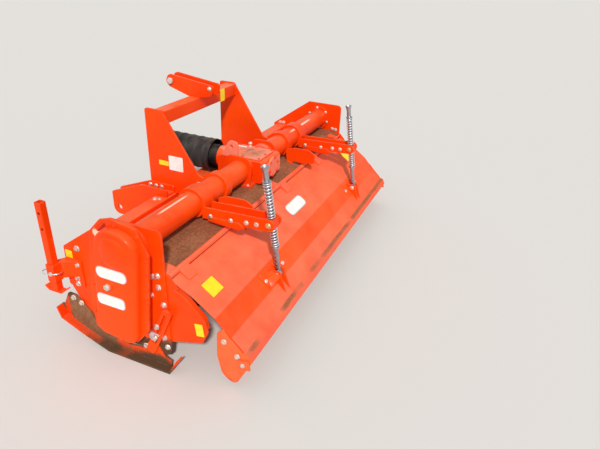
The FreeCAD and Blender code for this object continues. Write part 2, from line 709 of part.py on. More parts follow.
def bent_blade():
    """One blade: a shank up the flange, bent sideways into a foot that falls away behind."""
    thick, width = number(S.blade_thick), number(S.blade_width)
    tip, foot_reach = number(S.rotor_radius), number(S.blade_foot)
    root = number(S.rotor_tube_radius + S.blade_root)
    bend, trail, drop = number(S.blade_bend), number(S.blade_trail), number(S.blade_drop)
    inner = bend - thick
    arc = math.sqrt(0.5)
    knee = tip - bend
    end = tip - drop
    low = root - width
    edges = [
        Part.LineSegment(Vector(0, 0, low), Vector(0, 0, knee)),
        Part.Arc(
            Vector(0, 0, knee), Vector(bend * (1 - arc), 0, knee + bend * arc), Vector(bend, 0, tip)
        ),
        Part.LineSegment(Vector(bend, 0, tip), Vector(foot_reach, 0, end)),
        Part.LineSegment(Vector(foot_reach, 0, end), Vector(foot_reach, 0, end - thick)),
        Part.LineSegment(Vector(foot_reach, 0, end - thick), Vector(bend, 0, tip - thick)),
        Part.Arc(
            Vector(bend, 0, tip - thick),
            Vector(bend - inner * arc, 0, knee + inner * arc),
            Vector(thick, 0, knee),
        ),
        Part.LineSegment(Vector(thick, 0, knee), Vector(thick, 0, low)),
        Part.LineSegment(Vector(thick, 0, low), Vector(0, 0, low)),
    ]
    section = Part.Face(Part.Wire([e.toShape() for e in edges]))
    section.translate(Vector(0, -2 * width, 0))
    bent = section.extrude(Vector(0, 4 * width, 0))
    # The foot falls away from its leading edge as the tip circle does, to clear the soil.
    lead = 0.1 * width
    fall = (tip - math.sqrt(tip * tip - trail * trail)) / (trail - lead)
    bent.rotate(Vector(0, -lead, tip), along, math.degrees(math.atan(fall)))
    half = width / 2
    side = [
        Vector(0, half, root),
        Vector(0, half, tip - 1.45 * width),
        Vector(0, half * 0.6, tip - 0.6 * width),
        Vector(0, -lead, tip),
        Vector(0, -trail, tip),
        Vector(0, -trail, tip - 0.75 * width),
        Vector(0, -half * 1.5, tip - 1.1 * width),
        Vector(0, -half, tip - 1.8 * width),
        Vector(0, -half, root),
    ]
    cutter = Part.Face(Part.makePolygon(side + [side[0]])).extrude(along * foot_reach)
    return bent.common(cutter)


blade_right = bent_blade()
blade_left = blade_right.mirror(Vector(0, 0, 0), along)
rotor_reach = number(frame_half - S.rotor_end_gap)
flange_pitch = number(S.flange_pitch)
flange_count = int((2 * rotor_reach - 2 * number(S.flange_end)) / flange_pitch) + 1
blades_each = 6
stagger = 360 / (flange_count * 2)
tube_start = Vector(-rotor_reach, 0, 0)
solids = [Part.makeCylinder(number(S.rotor_tube_radius), 2 * rotor_reach, tube_start, along)]
journal_in = number(plate_out) + 6
journal_out = number(plate_out) + 14
journal_start = Vector(-journal_in, 0, 0)
solids.append(
    Part.makeCylinder(number(S.journal_radius), journal_in + journal_out, journal_start, along)
)
for place in range(flange_count):
    middle = (place - (flange_count - 1) / 2) * flange_pitch
    half_thick = number(S.flange_thick) / 2
    flange_at = Vector(middle - half_thick, 0, 0)
    solids.append(Part.makeCylinder(number(S.flange_radius), 2 * half_thick, flange_at, along))
    for turn in range(blades_each):
        to_right = turn % 2 == 0
        blade = (blade_right if to_right else blade_left).copy()
        blade.rotate(Vector(0, 0, 0), along, turn * 360 / blades_each + place * stagger)
        blade.translate(Vector(middle + (half_thick if to_right else -half_thick), 0, 0))
        solids.append(blade)
rotor = doc.addObject("Part::Feature", "rotor")
rotor.Label = "rotor"
rotor.Shape = solids[0].multiFuse(solids[1:]).removeSplitter()
rotor.Placement = Placement(Vector(0, 0, number(S.rotor_height)), Rotation())
pieces.append(rotor)

# Levelling board: a bent sheet that hangs behind the rotor from a long hinge.
board_half = frame_half - S.board_gap
board_top = (S.hinge_y - 10, S.hinge_z - 12)
board_crown = (S.board_soft_y + 106, S.board_soft_z + 76)
board_soft = (S.board_soft_y, S.board_soft_z)
board_bend = (S.board_bend_y, S.board_bend_z)
board_ledge = (S.board_lip_y + 36, S.board_lip_z + 36)
board_step = (S.board_lip_y + 14, S.board_lip_z + 30)
board_lip = (S.board_lip_y, S.board_lip_z)
board_line = [board_lip, board_step, board_ledge, board_bend, board_soft, board_crown, board_top]
plate("levelling_board", "YZ", -board_half, board_half * 2, sheet_outline(board_line, S.sheet_thick))

# Hinge: knuckles on the hood and, between them, knuckles on the board that hold the pin.
# Each knuckle has a leaf that lies on its sheet.
knuckles = 5
leaf_thick = 6
hood_hinge = new_body("hood_hinge")
board_hinge = new_body("board_hinge")
hood_leaf_end = between(hood_end, hood_bend, 0.5)
hood_leaf = [
    hood_end,
    hood_leaf_end,
    (hood_leaf_end[0], hood_leaf_end[1] + leaf_thick),
    (S.hinge_y + 2, S.hinge_z + S.hinge_radius - 1),
    (S.hinge_y + S.hinge_radius - 2, S.hinge_z),
]
board_leaf_end = between(board_top, board_crown, 0.5)
board_leaf = [
    board_top,
    (S.hinge_y - 3, S.hinge_z - S.hinge_radius + 3),
    (S.hinge_y - 4, S.hinge_z + S.hinge_radius - 3),
    (board_leaf_end[0], board_leaf_end[1] + leaf_thick),
    board_leaf_end,
]
hinge_spot = (S.hinge_y, S.hinge_z, S.hinge_radius)
pitch = (board_half * 2 - 2 * S.knuckle_length) / (knuckles - 1)
for index in range(knuckles):
    start = -board_half + pitch * index
    bore = S.hinge_pin_radius + S.running_gap
    add_plate(hood_hinge, f"leaf_{index}", "YZ", start, S.knuckle_length, hood_leaf)
    add_ring(hood_hinge, f"knuckle_{index}", "YZ", start, S.knuckle_length, *hinge_spot, bore)
    if index == knuckles - 1:
        break
    mate_start = start + S.knuckle_length + 1
    add_plate(board_hinge, f"leaf_{index}", "YZ", mate_start, S.knuckle_length, board_leaf)
    add_ring(board_hinge, f"knuckle_{index}", "YZ", mate_start, S.knuckle_length, *hinge_spot)
pin_spot = (S.hinge_y, S.hinge_z, S.hinge_pin_radius)
add_ring(board_hinge, "pin", "YZ", -board_half, board_half * 2, *pin_spot)

# End cheeks of the board: plates outside its ends that keep the soil in.
cheek_outline = [
    between(board_soft, board_bend, 0.5),
    board_bend,
    board_ledge,
    board_step,
    board_lip,
    (S.board_lip_y + 66, 38, 8),
    (S.board_bend_y - 8, 24, 20),
    (S.board_bend_y + 42, 52, 60),
    (S.board_bend_y + 66, 150, 120),
    (S.board_bend_y + 62, S.board_bend_z + 10, 12),
]
for side, start in (("left", -board_half - S.cheek_thick), ("right", board_half)):
    plate(f"board_cheek_{side}", "YZ", start, S.cheek_thick, cheek_outline)

# Lugs on the board for the spring rods: two gussets astride the bend, with a pin between.
lug_outline = [
    between(board_soft, board_bend, 0.2),
    board_bend,
    between(board_bend, board_ledge, 0.7),
    (S.rod_pin_y - 24, S.rod_pin_z - 4, 16),
    (S.rod_pin_y - 20, S.rod_pin_z + 22, 16),
    (S.rod_pin_y + 22, S.rod_pin_z + 22, 16),
]
lug_half = S.lug_gap / 2
pin_over = 6
for side, sign in (("left", -1), ("right", 1)):
    body = new_body(f"board_lug_{side}")
    middle = S.arm_x * sign
    for which, start in (("near", -lug_half - S.lug_thick), ("far", lug_half)):
        add_plate(body, f"{which}_gusset", "YZ", middle + start, S.lug_thick, lug_outline)
    pin_half = lug_half + S.lug_thick + pin_over
    lug_pin = (pin_half * 2, S.rod_pin_y, S.rod_pin_z, S.rod_pin_radius)
    add_ring(body, "pin", "YZ", middle - pin_half, *lug_pin)

# Spring arms: two flat bars from an eye on the cross tube to the trunnion.
arm_eye = S.cross_tube_radius + S.weld_gap
arm_half = S.arm_depth / 2
arm_front = S.drive_y - S.cross_tube_radius - 1
arm_front_z = drive_z - 34
arm_outline = [
    (arm_front, arm_front_z - arm_half),
    (arm_front, arm_front_z + arm_half),
    (S.pivot_y, S.pivot_z + arm_half, 10),
    (S.pivot_y - arm_half, S.pivot_z + arm_half, arm_half * 0.96),
    (S.pivot_y - arm_half, S.pivot_z - arm_half, arm_half * 0.96),
    (S.pivot_y, S.pivot_z - arm_half, 10),
]
for side, sign in (("left", -1), ("right", 1)):
    body = new_body(f"spring_arm_{side}")
    middle = S.arm_x * sign
    hole = [(S.pivot_y, S.pivot_z, S.trunnion_pin + 0.4)]
    for which, start in (("near", -S.arm_gap / 2 - S.arm_thick), ("far", S.arm_gap / 2)):
        add_plate(body, f"{which}_bar", "YZ", middle + start, S.arm_thick, arm_outline, hole)
    eye_start = middle - S.arm_gap / 2 - S.arm_thick
    eye_length = S.arm_gap + S.arm_thick * 2
    add_ring(body, "eye", "YZ", eye_start, eye_length, S.drive_y, drive_z, arm_eye + 14, arm_eye)


def coil(length, turns):
    """A spring of square wire about Z from z = 0 up, with a closed turn at each end."""
    wire, outside = number(S.spring_wire), number(S.spring_radius)
    inside = outside - wire
    steps = 8
    closed = 1.1 * wire
    open_pitch = (length - wire - 2 * closed) / (turns - 2)
    sections = []
    for step in range(turns * steps + 1):
        done = step / steps
        low = closed * min(done, 1) + open_pitch * min(max(done - 1, 0), turns - 2)
        low += closed * max(done - turns + 1, 0)
        top = low + wire
        cos, sin = math.cos(2 * math.pi * done), math.sin(2 * math.pi * done)
        corners = ((inside, low), (outside, low), (outside, top), (inside, top))
        sections.append([Vector(r * cos, r * sin, z) for r, z in corners])
    outlines = [sections[0], sections[-1]]
    for a, b in zip(sections, sections[1:]):
        for i, j in ((0, 1), (2, 3)):
            outlines += [(a[i], a[j], b[j]), (a[i], b[j], b[i])]
        for i, j in ((1, 2), (3, 0)):
            outlines.append((a[i], a[j], b[j], b[i]))
    faces = [Part.Face(Part.makePolygon([*outline, outline[0]])) for outline in outlines]
    shell = Part.makeShell(faces)
    shell.sewShape()
    return Part.makeSolid(shell)


# Trunnions, rods and springs. Each set leans with its rod, about the trunnion's pivot.
rod_run_y = S.pivot_y - S.rod_pin_y
rod_run_z = S.pivot_z - S.rod_pin_z
rod_length = math.hypot(number(rod_run_y), number(rod_run_z))
rod_lean = Rotation(Vector(1, 0, 0), -math.degrees(math.atan2(number(rod_run_y), number(rod_run_z))))
collar_thick = 5
block_half = S.trunnion_pin + 15
stub_in = S.rod_radius + 5
eye_half = S.lug_gap / 2 - 3
for side, sign in (("left", -1), ("right", 1)):
    pivot = (S.arm_x * sign, S.pivot_y, S.pivot_z)
    block = new_body(f"trunnion_{side}", pivot, rod_lean)
    block_outline = box_outline(-block_half - 2, block_half + 2, -block_half, block_half, 6)
    rod_bore = [(0, 0, S.rod_radius + S.rod_gap)]
    add_plate(block, "block", "XY", -S.trunnion_half, S.trunnion_half * 2, block_outline, rod_bore)
    stub_reach = S.arm_gap / 2 + S.arm_thick + 6
    add_ring(block, "stub_far", "YZ", stub_in, stub_reach - stub_in, 0, 0, S.trunnion_pin)
    add_ring(block, "stub_near", "YZ", -stub_reach, stub_reach - stub_in, 0, 0, S.trunnion_pin)

    rod = new_body(f"spring_rod_{side}", pivot, rod_lean)
    eye_low = -rod_length
    bar_low = eye_low + 16
    add_ring(rod, "bar", "XY", bar_low, S.rod_above - bar_low, 0, 0, S.rod_radius)
    eye_bore = S.rod_pin_radius + 1.5
    add_ring(rod, "eye", "YZ", -eye_half, eye_half * 2, 0, eye_low, eye_bore + 7, eye_bore)
    add_ring(rod, "cap", "XY", S.rod_above - 4, 12, 0, 0, S.rod_radius + 3.5)
    upper_seat = S.trunnion_half + S.upper_spring
    lower_seat = -S.trunnion_half - S.lower_spring - collar_thick
    for name, at in (("upper_collar", upper_seat), ("lower_collar", lower_seat)):
        add_ring(rod, name, "XY", at, collar_thick, 0, 0, S.spring_radius)

    seat_gap = 0.3
    lower_end = -S.trunnion_half - S.lower_spring
    for which, low, length, turns in (
        ("upper", S.trunnion_half, S.upper_spring, 14),
        ("lower", lower_end, S.lower_spring, 9),
    ):
        spring = doc.addObject("Part::Feature", f"{which}_spring_{side}")
        spring.Label = f"{which}_spring_{side}"
        spring.Shape = coil(number(length) - 2 * seat_gap, turns)
        foot_point = Vector(*[number(v) for v in pivot])
        foot_point += rod_lean.multVec(Vector(0, 0, number(low) + seat_gap))
        spring.Placement = Placement(foot_point, rod_lean)
        pieces.append(spring)

# Skids: a sole bent up at both ends and an upright web bolted to the side plate.
sole_line = [
    (S.plate_rear - 50, S.skid_thick + 76),
    (S.plate_rear - 8, S.skid_thick),
    (112, S.skid_thick),
    (246, S.skid_thick + 48),
    (368, S.skid_thick + 100),
    (386, S.skid_thick + 152),
]
web_outline = [
    (S.plate_rear, S.skid_thick),
    (112, S.skid_thick),
    (246, S.skid_thick + 48),
    (366, S.skid_thick + 99),
    (378, S.skid_thick + 148),
    (340, 236, 16),
    (296, 236, 20),
    (250, 190, 40),
    (196, 112, 60),
    (40, 48, 60),
    (-70, 60, 10),
    (-88, 106, 10),
    (-140, 106, 14),
    (-172, 50, 30),
    (S.plate_rear, 40),
]
web_out = plate_out + S.skid_thick
skid_outer = plate_out + S.skid_width
link_turn = Rotation(Vector(1, 0, 0), number(S.link_lean))
link_end = S.link_length + S.link_half
link_outline = box_outline(-S.link_half, S.link_half, -S.link_half, link_end, S.link_half * 0.8)
slot = box_outline(-9, 9, 40, S.link_length - 4, 6)
clip_at = 96
for side, sign in (("left", -1), ("right", 1)):
    skid = new_body(f"skid_{side}")
    start = plate_out if sign > 0 else -web_out
    add_plate(skid, "web", "YZ", start, S.skid_thick, web_outline)
    sole_start = plate_out if sign > 0 else -skid_outer
    sole_shape = sheet_outline(sole_line, S.skid_thick)
    add_plate(skid, "sole", "YZ", sole_start, S.skid_width, sole_shape)

    link = new_body(f"skid_adjuster_{side}", (0, S.link_foot_y, S.link_foot_z), link_turn)
    link_start = web_out if sign > 0 else -web_out - S.link_thick
    add_plate(link, "link", "YZ", link_start, S.link_thick, link_outline, slots=[slot])
    pin_length = S.skid_thick + S.link_thick + 12
    pin_start = plate_out if sign > 0 else -plate_out - pin_length
    add_ring(link, "pin", "YZ", pin_start, pin_length, 0, clip_at, 10)

# Side shields: flat sheets behind the side plates, with a rim under the board.
shield_front = S.plate_rear + 44
shield_outline = [
    (shield_front, S.hinge_z - 30),
    (S.hinge_y - 5, S.hinge_z - 32, 14),
    (S.hinge_y - 89, S.hinge_z - 82, 200),
    (S.hinge_y - 169, S.hinge_z - 158, 80),
    (S.hinge_y - 183, S.hinge_z - 214, 20),
    (S.hinge_y - 153, S.hinge_z - 280, 24),
    (S.plate_rear - 6, 140),
    (shield_front, 140),
]
rim_line = [
    (S.hinge_y - 175, S.hinge_z - 208),
    (S.hinge_y - 163, S.hinge_z - 156),
    (S.hinge_y - 87, S.hinge_z - 84),
    (S.hinge_y - 11, S.hinge_z - 36),
]
shield_in = frame_half - S.sheet_thick
rim_width = 22
for side, sign in (("left", -1), ("right", 1)):
    shield = new_body(f"side_shield_{side}")
    start = shield_in if sign > 0 else -frame_half
    add_plate(shield, "sheet", "YZ", start, S.sheet_thick, shield_outline)
    rim_start = shield_in - rim_width if sign > 0 else -shield_in
    add_plate(shield, "rim", "YZ", rim_start, rim_width, sheet_outline(rim_line, 4))

# Parking stand: a square tube with a dished foot, which slides in a sleeve on the left plate.
stand_x = -plate_out - S.stand_out
stand_half = S.stand_size / 2
sleeve_bore = stand_half + S.sleeve_gap
sleeve_half = sleeve_bore + 4
sleeve_top = S.sleeve_low + S.sleeve_length
sleeve = new_body("stand_bracket")
sleeve_rear, sleeve_front = S.stand_y - sleeve_half, S.stand_y + sleeve_half
sleeve_outer = box_outline(stand_x - sleeve_half, stand_x + sleeve_half, sleeve_rear, sleeve_front)
sleeve_inner = box_outline(
    stand_x - sleeve_bore, stand_x + sleeve_bore, S.stand_y - sleeve_bore, S.stand_y + sleeve_bore
)
add_plate(sleeve, "sleeve", "XY", S.sleeve_low, S.sleeve_length, sleeve_outer, slots=[sleeve_inner])
gusset_outline = [
    (-plate_out, S.stand_y - 88),
    (-plate_out, S.stand_y - 8),
    (stand_x + sleeve_half, sleeve_front),
    (stand_x + sleeve_half, sleeve_rear),
]
for name, at in (("low_gusset", S.sleeve_low + 4), ("top_gusset", sleeve_top - 12)):
    add_plate(sleeve, name, "XY", at, 8, gusset_outline)
back_outline = box_outline(S.stand_y - 96, S.stand_y - 8, S.sleeve_low - 55, sleeve_top + 2, 10)
add_plate(sleeve, "back_plate", "YZ", -plate_out - 8, 8, back_outline)

stand = new_body("parking_stand")
stand_outer = box_outline(
    stand_x - stand_half, stand_x + stand_half, S.stand_y - stand_half, S.stand_y + stand_half, 3
)
stand_bore = stand_half - S.stand_wall
stand_inner = box_outline(
    stand_x - stand_bore, stand_x + stand_bore, S.stand_y - stand_bore, S.stand_y + stand_bore
)
stand_length = S.stand_top - S.stand_low
add_plate(stand, "tube", "XY", S.stand_low, stand_length, stand_outer, slots=[stand_inner])
foot_reach = 52
foot_half = stand_half + 2
foot_line = [
    (S.stand_y - foot_reach, S.stand_low + 16),
    (S.stand_y - foot_reach + 20, S.stand_low),
    (S.stand_y + foot_reach - 20, S.stand_low),
    (S.stand_y + foot_reach, S.stand_low + 16),
]
foot_shape = sheet_outline(foot_line, 6)
add_plate(stand, "foot", "YZ", stand_x - foot_half, foot_half * 2, foot_shape)
pin_holes = new_sketch(stand, "YZ", stand_x + stand_half + 1, "pin_holes")
for drop in (48, 121):
    draw_circle(pin_holes, S.stand_y, S.stand_top - drop, 7)
holes = stand.newObject("PartDesign::Pocket", "pin_holes_cut")
holes.Profile = pin_holes
holes.Length = number(S.stand_size + 2)
bind(holes, "Length", S.stand_size + 2)
stand.Tip = holes

failed = []
doc.recompute()
for thing in doc.Objects:
    if "Invalid" in thing.State or "Error" in thing.State:
        failed.append(f"{thing.Name} {thing.State}")
for piece in pieces:
    if piece.Shape.isNull() or not piece.Shape.isValid():
        failed.append(f"{piece.Label} has no valid shape")
if failed:
    raise RuntimeError("; ".join(failed))

os.makedirs("parts", exist_ok=True)
for piece in pieces:
    piece.Shape.exportStep(f"parts/{piece.Label}.step")
    print(piece.Label, len(piece.Shape.Solids), round(piece.Shape.Volume / 1e6, 3))
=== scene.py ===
import math

import bpy
from mathutils import Matrix, Vector


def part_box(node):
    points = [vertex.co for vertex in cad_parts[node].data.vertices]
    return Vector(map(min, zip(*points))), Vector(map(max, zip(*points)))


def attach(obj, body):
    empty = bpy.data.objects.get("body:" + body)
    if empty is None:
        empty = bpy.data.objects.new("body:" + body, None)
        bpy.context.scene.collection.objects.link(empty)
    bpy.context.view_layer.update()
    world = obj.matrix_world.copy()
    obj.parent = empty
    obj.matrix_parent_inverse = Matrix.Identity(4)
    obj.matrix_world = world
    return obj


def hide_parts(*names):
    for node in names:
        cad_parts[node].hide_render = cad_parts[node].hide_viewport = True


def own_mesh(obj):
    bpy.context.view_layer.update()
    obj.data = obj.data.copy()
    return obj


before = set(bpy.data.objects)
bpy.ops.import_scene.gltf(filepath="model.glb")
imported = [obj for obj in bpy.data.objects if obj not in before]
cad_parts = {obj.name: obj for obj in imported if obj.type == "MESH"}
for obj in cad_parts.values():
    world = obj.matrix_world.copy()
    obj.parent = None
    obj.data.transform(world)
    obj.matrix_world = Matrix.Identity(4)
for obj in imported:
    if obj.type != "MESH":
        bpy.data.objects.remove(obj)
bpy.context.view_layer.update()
bpy.ops.object.select_all(action="DESELECT")

# The camera: behind the machine on its left side, looking down on it through a slightly wide
# lens, with the horizon tipped by a few degrees.
eye = Vector((-2.439, -1.331, 1.653))
heading = math.radians(68.17)
dip = math.radians(28.04)
horizon_tip = math.radians(2.84)
forward = Vector(
    (math.sin(heading) * math.cos(dip), math.cos(heading) * math.cos(dip), -math.sin(dip))
)
level_right = Vector((math.cos(heading), -math.sin(heading), 0))
level_up = level_right.cross(forward)
right = math.cos(horizon_tip) * level_right + math.sin(horizon_tip) * level_up
up = -math.sin(horizon_tip) * level_right + math.cos(horizon_tip) * level_up
camera_data = bpy.data.cameras.new("camera")
camera_data.sensor_width = 36
camera_data.lens = 30.73
camera = bpy.data.objects.new("camera", camera_data)
camera.matrix_world = Matrix.Translation(eye) @ Matrix((right, up, -forward)).transposed().to_4x4()
bpy.context.collection.objects.link(camera)
bpy.context.scene.camera = camera

# The studio: a pale floor and an even sky with one broad lamp high on the left. What the camera
# and reflections see of the sky is as pale as the floor.


def wire(tree, kind, values=None, links=None, **settings):
    """A node of a material with its settings, the values of its sockets and what feeds them."""
    made = tree.nodes.new("ShaderNode" + kind)
    for key, value in settings.items():
        setattr(made, key, value)
    for key, value in (values or {}).items():
        made.inputs[key].default_value = value
    for key, source in (links or {}).items():
        tree.links.new(source, made.inputs[key])
    return made


def feed(socket, value):
    """A number, a colour or another node's result goes into a socket."""
    if isinstance(value, bpy.types.NodeSocket):
        socket.id_data.links.new(value, socket)
    else:
        socket.default_value = value


def count(operation, *terms, clamp=True):
    """The result of a sum such as SUBTRACT or MAXIMUM on sockets and numbers."""
    tree = next(term.id_data for term in terms if isinstance(term, bpy.types.NodeSocket))
    made = wire(tree, "Math", operation=operation, use_clamp=clamp)
    for socket, term in zip(made.inputs, terms):
        feed(socket, term)
    return made.outputs[0]


def layer(share, under, over):
    """One colour laid over another by a share from 0 to 1."""
    made = wire(share.id_data, "Mix", data_type="RGBA")
    for socket, value in zip((made.inputs[0], made.inputs[6], made.inputs[7]), (share, under, over)):
        feed(socket, (*value, 1) if isinstance(value, tuple) else value)
    return made.outputs[2]


sky_light = (0.475, 0.475, 0.48)
pale_backdrop = (0.77, 0.76, 0.73)
pale_floor = (0.72, 0.71, 0.69, 1)
floor_size = 60
sun_direction = Vector((0.85, 0.50, -0.88))
bpy.ops.mesh.primitive_plane_add(size=floor_size)
floor = bpy.context.object
floor.name = "floor"
floor_paint = bpy.data.materials.new("floor_paint")
floor_paint.use_nodes = True
floor_shader = floor_paint.node_tree.nodes["Principled BSDF"]
floor_shader.inputs["Base Color"].default_value = pale_floor
floor_shader.inputs["Roughness"].default_value = 0.9
floor.data.materials.append(floor_paint)
sky = bpy.data.worlds.new("sky")
sky.use_nodes = True
ray = wire(sky.node_tree, "LightPath").outputs
seen = count("MAXIMUM", ray["Is Camera Ray"], ray["Is Glossy Ray"])
seen = count("MAXIMUM", seen, ray["Is Transmission Ray"])
backdrop = layer(seen, sky_light, pale_backdrop)
feed(sky.node_tree.nodes["Background"].inputs["Color"], backdrop)
bpy.context.scene.world = sky
sun_data = bpy.data.lights.new("sun", "SUN")
sun_data.energy = 2.75
sun_data.angle = math.radians(4)
sun_data.color = (1, 0.97, 0.92)
sun = bpy.data.objects.new("sun", sun_data)
sun.rotation_euler = sun_direction.to_track_quat("-Z", "Y").to_euler()
bpy.context.collection.objects.link(sun)
bpy.context.scene.view_settings.view_transform = "Standard"

# Side plates: 10 mm steel cut to a high peak over the cross tube, welded to the beam and the
# hood. They are powder coated orange, paler on top, partly chalky from fading and partly a painted sky
# sheen, with field dust and dried soil low down, and their bolts come through from the tube flanges and
# the beam.


def times(*terms, clamp=True):
    return count("MULTIPLY", *terms, clamp=clamp)


def plus(*terms, clamp=True):
    return count("ADD", *terms, clamp=clamp)


def axes(vector):
    """The X, Y and Z of a vector, as three sockets."""
    return wire(vector.id_data, "SeparateXYZ", links={"Vector": vector}).outputs


def ramp(value, low, high):
    """0 where the value is under low, 1 where it is over high, and a smooth rise between."""
    made = wire(value.id_data, "MapRange", {"From Min": low, "From Max": high}, {"Value": value})
    made.interpolation_type = "SMOOTHSTEP"
    return made.outputs[0]


def grain(spot, scale, detail=5.0, rough=0.55, stretch=(1, 1, 1)):
    """Clouds of noise at a scale in marks per metre."""
    mapped = wire(spot.id_data, "Mapping", {"Scale": stretch}, {"Vector": spot}).outputs[0]
    values = {"Scale": scale, "Detail": detail, "Roughness": rough}
    return wire(spot.id_data, "TexNoise", values, {"Vector": mapped}).outputs["Fac"]


def new_finish(name):
    """A new material, its shader and the place of each point in the object."""
    finish = bpy.data.materials.new(name)
    finish.use_nodes = True
    tree = finish.node_tree
    return finish, tree.nodes["Principled BSDF"], wire(tree, "TexCoord").outputs["Object"]


def looking_up(spot):
    """How much each face looks up: 1 for a level top, 0 for an upright side."""
    return axes(wire(spot.id_data, "TexCoord").outputs["Normal"])["Z"]


def uneven(shader, strength, depth, height, rim=None):
    """Bumps on the shader from a height, over a rounding of the edges if there is one."""
    links = {"Height": height}
    if rim:
        links["Normal"] = rim.outputs[0]
    relief = wire(shader.id_data, "Bump", {"Strength": strength, "Distance": depth}, links)
    feed(shader.inputs["Normal"], relief.outputs[0])


ORANGE_DEEP = (0.88, 0.049, 0.001)
ORANGE_LIT = (0.98, 0.075, 0.002)
ORANGE_FADE_AND_SHEEN = (0.98, 0.185, 0.058)
FIELD_DUST = (0.27, 0.155, 0.078)
DARK_DUST = (0.135, 0.078, 0.042)
PALE_PAINT_AND_HIGHLIGHT = (0.98, 0.66, 0.50)
DRIED_SOIL = (0.11, 0.062, 0.034)
WORN_EDGE_AND_HIGHLIGHT = (1.0, 0.36, 0.2)


def orange_paint(name, fade_and_sheen=0.35, dust=0.25, soil_height=0.16, extra=None, overlay=None, lean=0.25):
    """Orange powder coat. fade_and_sheen is how far faces that look up turn paler: partly paint faded by
    the sun, partly a painted sheen of the sky on the tops. dust is how much field dust lies on them, and
    soil_height how high dried soil clings. extra adds a mask of dust
    and overlay one of pale paint: rubbed paint in places, painted highlights and sheen in others. Faces
    steeper than lean don't turn paler. The pale edges are partly worn paint, partly a painted edge
    highlight."""
    finish, shader, spot = new_finish(name)
    broad = grain(spot, 2.4, 4)
    patchy = grain(spot, 7, 8, 0.62)
    fine = grain(spot, 70, 6, 0.7)
    height = axes(spot)["Z"]
    upward = ramp(looking_up(spot), lean, lean + 0.65)
    colour = layer(ramp(broad, 0.35, 0.65), ORANGE_DEEP, ORANGE_LIT)
    # Upward faces turn paler: partly faded paint, partly a painted sheen of the sky.
    faded_and_sheen = times(times(upward, fade_and_sheen), ramp(patchy, 0.2, 0.75))
    colour = layer(faded_and_sheen, colour, ORANGE_FADE_AND_SHEEN)
    settled = plus(times(upward, 0.34), patchy)
    dusty = times(ramp(settled, 0.72, 0.98), dust)
    film = times(ramp(fine, 0.5, 0.8), 0.06)
    dusty = count("MAXIMUM", dusty, film)
    if extra:
        dusty = count("MAXIMUM", dusty, extra(spot, patchy, fine))
    # The overlay lays pale paint: rubbed paint in some places, painted highlights and sheen in others.
    if overlay:
        colour = layer(overlay(spot, patchy, fine), colour, PALE_PAINT_AND_HIGHLIGHT)
    mottled = times(plus(patchy, fine, clamp=False), 0.5)
    dirt = layer(ramp(mottled, 0.36, 0.64), FIELD_DUST, DARK_DUST)
    colour = layer(dusty, colour, dirt)
    ragged = times(patchy, 0.22)
    soil_line = count("SUBTRACT", soil_height + 0.11, ragged)
    below = count("SUBTRACT", soil_line, height, clamp=False)
    caked = ramp(plus(fine, times(below, 4.5)), 0.36, 0.52)
    soiled = times(ramp(below, -0.015, 0.05), caked)
    colour = layer(soiled, colour, DRIED_SOIL)
    tree = finish.node_tree
    # Pale edges along the rounding: partly worn paint, partly a painted edge highlight.
    rim = wire(tree, "Bevel", {"Radius": 0.0022}, samples=4)
    true_normal = wire(tree, "NewGeometry").outputs["Normal"]
    bend = wire(tree, "VectorMath", links={0: rim.outputs[0], 1: true_normal}, operation="DOT_PRODUCT")
    edge_wear_and_highlight = ramp(count("SUBTRACT", 1, bend.outputs["Value"]), 0.02, 0.16)
    edge_wear_and_highlight = times(edge_wear_and_highlight, ramp(grain(spot, 26, 4), 0.42, 0.66))
    colour = layer(times(edge_wear_and_highlight, 0.55), colour, WORN_EDGE_AND_HIGHLIGHT)
    feed(shader.inputs["Base Color"], colour)
    dull = count("MAXIMUM", dusty, soiled)
    matt = wire(tree, "MapRange", {"To Min": 0.30, "To Max": 0.92}, {"Value": dull}).outputs[0]
    chalky = plus(matt, times(fine, 0.12))
    feed(shader.inputs["Roughness"], chalky)
    crust = times(dull, fine)
    shader.inputs["Specular IOR Level"].default_value = 0.10
    shader.inputs["Coat Weight"].default_value = 0.09
    shader.inputs["Coat Roughness"].default_value = 0.16
    skin = plus(crust, times(grain(spot, 420, 2), 0.05))
    uneven(shader, 0.5, 0.0012, skin, rim)
    return finish


def dress(finish, *names):
    """The CAD nodes of these names take a finish."""
    for name in names:
        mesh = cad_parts[name].data
        mesh.materials.clear()
        mesh.materials.append(finish)


plate_paint = orange_paint("plate_paint", fade_and_sheen=0.25, dust=0.10)
dress(plate_paint, "side_plate_left", "side_plate_right")


def only(*pieces):
    """These pieces are selected and nothing else, and the last of them is the active one."""
    bpy.ops.object.select_all(action="DESELECT")
    for piece in pieces:
        piece.select_set(True)
    bpy.context.view_layer.objects.active = pieces[-1]


def pick(piece, test, kind="FACE"):
    """Edit mode on one piece, with the faces or edges selected whose middle passes a test."""
    only(piece)
    bpy.ops.object.mode_set(mode="EDIT")
    bpy.ops.mesh.select_mode(type=kind)
    bpy.ops.mesh.select_all(action="DESELECT")
    bpy.ops.object.mode_set(mode="OBJECT")
    if kind == "FACE":
        for face in piece.data.polygons:
            face.select = test(face.center)
    else:
        spots = [vertex.co for vertex in piece.data.vertices]
        for edge in piece.data.edges:
            ends = [spots[index] for index in edge.vertices]
            edge.select = test(ends[0]) and test(ends[1])
    bpy.ops.object.mode_set(mode="EDIT")


def done_editing():
    bpy.ops.object.mode_set(mode="OBJECT")


def settle(name, finish, body="frame", smooth=35):
    """The active piece gets its name, finish and shading, keeps its place in its mesh and rides."""
    piece = bpy.context.object
    only(piece)
    bpy.ops.object.transform_apply(location=True, rotation=True, scale=True)
    bpy.ops.object.shade_smooth_by_angle(angle=math.radians(smooth))
    piece.name = piece.data.name = name
    piece.data.materials.clear()
    piece.data.materials.append(finish)
    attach(piece, body)
    return piece


